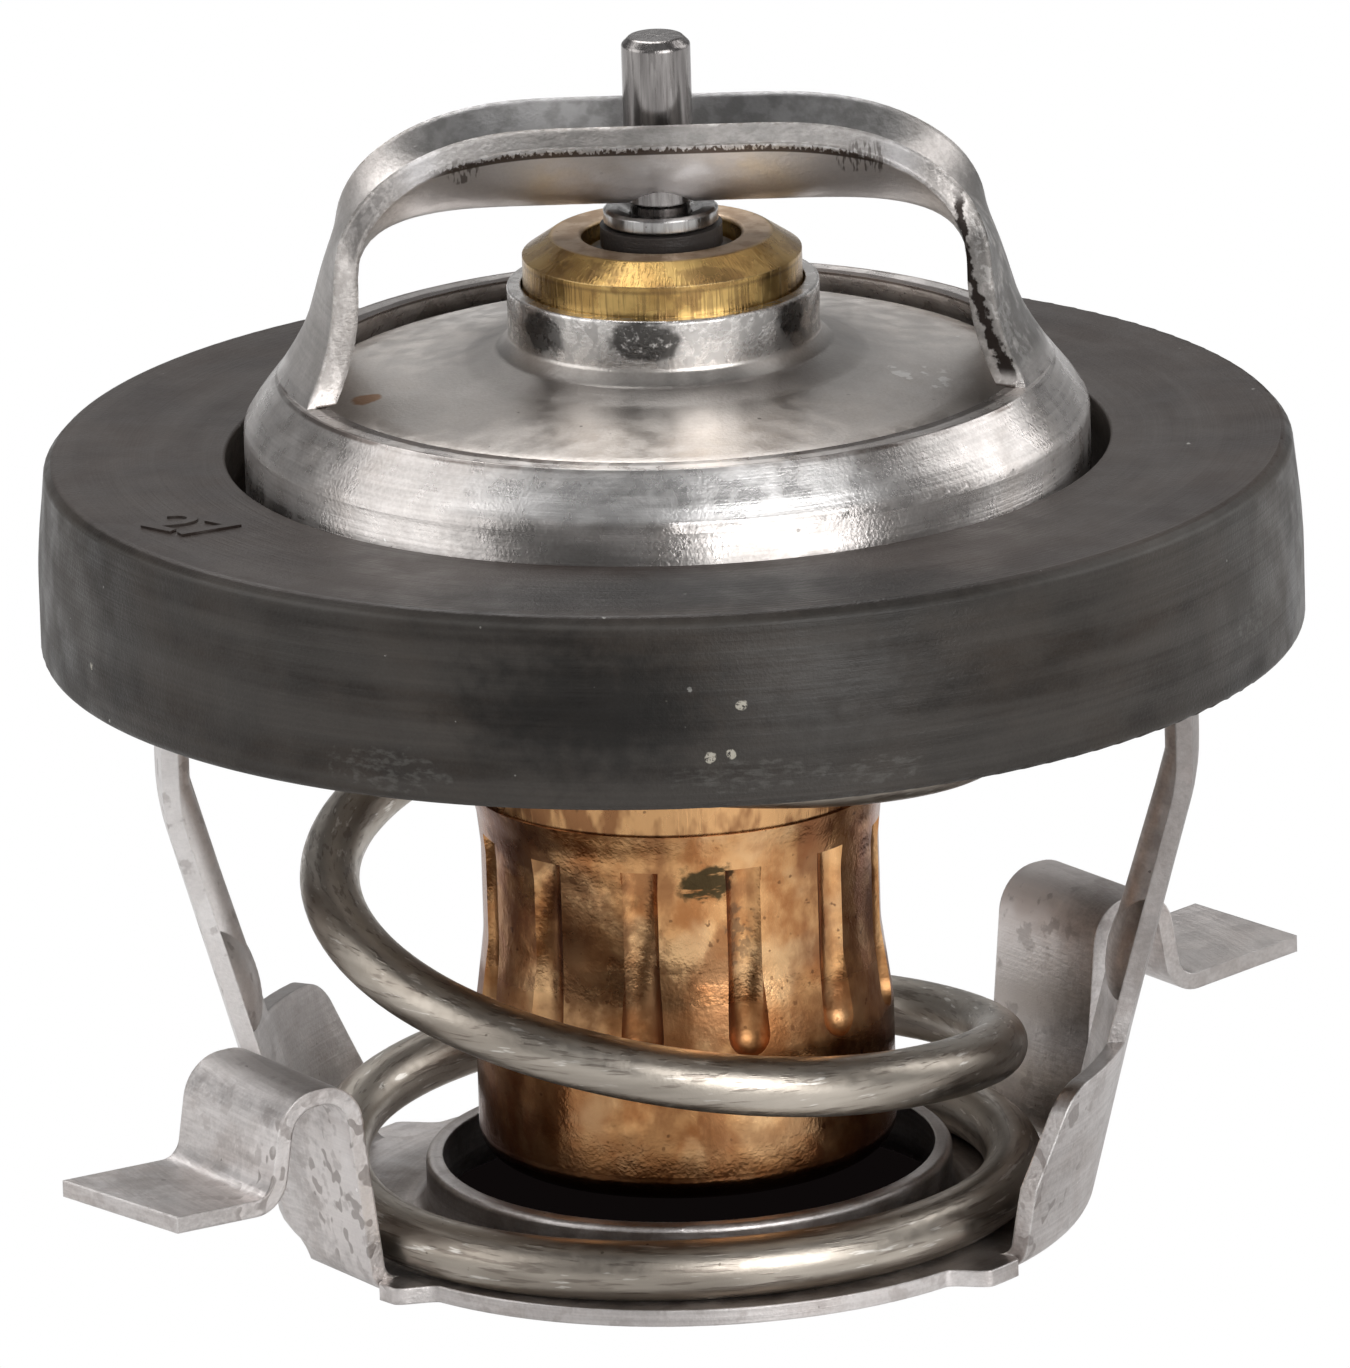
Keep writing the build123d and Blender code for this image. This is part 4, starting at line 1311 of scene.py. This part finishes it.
# %% [markdown]
# ## Moulded number
# The ring's top carries a small raised cavity number, which tells the moulder which hollow made it.
# Text is the quickest way to it: it is typed, made a mesh and set down on the rubber.
# Cutting it into the ring would need the ring's own mesh, which stays as it is.

# %% Moulded number
NUMBER_PLACE = (-0.02105, -0.01145, 0.03580)
NUMBER_TURN = math.radians(-40)
NUMBER_SIZE = 0.0036
NUMBER_RAISED = 0.00011
NUMBER_THICKENED = 0.00006

bpy.ops.object.select_all(action="DESELECT")
bpy.ops.object.text_add(location=NUMBER_PLACE, rotation=(0, 0, NUMBER_TURN))
number = bpy.context.active_object
number.name = "cavity_number"
number.data.body = "27"
number.data.size = NUMBER_SIZE
number.data.align_x = "CENTER"
number.data.align_y = "CENTER"
number.data.extrude = NUMBER_RAISED
number.data.offset = NUMBER_THICKENED
bpy.ops.object.convert(target="MESH")
bpy.ops.object.transform_apply(location=True, rotation=True, scale=True)
number.data.materials.clear()
number.data.materials.append(seal_rubber)
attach(number, "frame")
print("number: %d faces" % len(number.data.polygons))

# %% [markdown]
# ## Room
# A part is shown on white, but a strong white light all round would wash its colours out.
# So the camera alone sees pure white, smooth metal sees a weaker share of it, and everything else
# gets a dim grey.
# Light Path tells a shader which kind of ray has reached it.

# %% Room
REFLECTED_SKY = 0.18
ROOM_GREY = rgb(0.06, 0.06, 0.062)
WHITE = rgb(1, 1, 1)


def seen_white(tree, reflected):
    """1 for camera rays, and a share of it for rays that come off metal or through glass."""
    rays = add(tree, "LightPath")
    mirrored = calc("MAXIMUM", rays.outputs["Is Glossy Ray"], rays.outputs["Is Transmission Ray"])
    return calc("MAXIMUM", rays.outputs["Is Camera Ray"], times(mirrored, reflected))


def blend(tree, share, first, second):
    """Mix two shaders."""
    node = add(tree, "MixShader")
    feed(node.inputs[0], share)
    feed(node.inputs[1], first)
    feed(node.inputs[2], second)
    return node.outputs[0]


world = bpy.data.worlds.new("room")
bpy.context.scene.world = world
world.use_nodes = True
air = world.node_tree
air.nodes.clear()
room = add(air, "Background")
room.inputs["Color"].default_value = ROOM_GREY
white = add(air, "Background")
white.inputs["Color"].default_value = WHITE
sky = blend(air, seen_white(air, REFLECTED_SKY), room.outputs[0], white.outputs[0])
feed(add(air, "OutputWorld").inputs["Surface"], sky)
print("room: %d nodes" % len(air.nodes))

# %% [markdown]
# ## Floor
# The floor is a white sheet that catches the object's shadow.
# Metal sees it glow brighter in a band to the right, a painted reflection that brightens the sheet's upright
# walls.
# Under the cup, inside the base ring, the floor is painted black as shade, and the copper mirrors that.

# %% Floor
FLOOR_SIZE = 6.0
FLOOR_PLACE = (0, 1.0, -0.0005)
REFLECTED_FLOOR = 0.42
REFLECTION_BAND = [math.radians(angle) for angle in (4, 16, 44, 62)]
HOLE = 14.2
HOLE_SHADE = rgb(0.01, 0.01, 0.01)
HOLE_SHADE_GLOW = rgb(0.004, 0.003, 0.003)
FLOOR_GREY = rgb(0.75, 0.75, 0.75)


def floor_paint():
    """White to the camera, grey to light, brighter to reflections on the right, and black as painted shade
    inside the base ring.
    """
    paint = bpy.data.materials.new("floor_paint")
    paint.use_nodes = True
    tree = paint.node_tree
    tree.nodes.clear()
    places = use(tree, PLACES, Place=add(tree, "TexCoord").outputs["Object"])
    open_floor = smooth(places["Radius"], HOLE, HOLE + 0.5)
    # Painted reflection: to reflected rays the floor glows brighter in a band to the right.
    reflected_glow = smooth(band(places["Angle"], *REFLECTION_BAND), 0.0, 1.0, bottom=REFLECTED_FLOOR, top=1.0)
    matt = add(tree, "BsdfDiffuse")
    # Painted shade: the floor inside the base ring is black and glows almost nothing.
    feed(matt.inputs["Color"], mix(open_floor, HOLE_SHADE, FLOOR_GREY))
    glow = add(tree, "Emission")
    feed(glow.inputs["Color"], mix(open_floor, HOLE_SHADE_GLOW, WHITE))
    surface = blend(tree, seen_white(tree, reflected_glow), matt.outputs[0], glow.outputs[0])
    feed(add(tree, "OutputMaterial").inputs["Surface"], surface)
    return paint


bpy.ops.object.select_all(action="DESELECT")
bpy.ops.mesh.primitive_plane_add(size=FLOOR_SIZE, location=FLOOR_PLACE)
floor = bpy.context.active_object
floor.name = "floor"
bpy.ops.object.transform_apply(location=True, rotation=True, scale=True)
floor.data.materials.append(floor_paint())
print("floor: %.1f m square" % FLOOR_SIZE)

# %% [markdown]
# ## Sizes
# The finished part has to be as big as its solids.

# %% Sizes
bpy.context.view_layer.update()
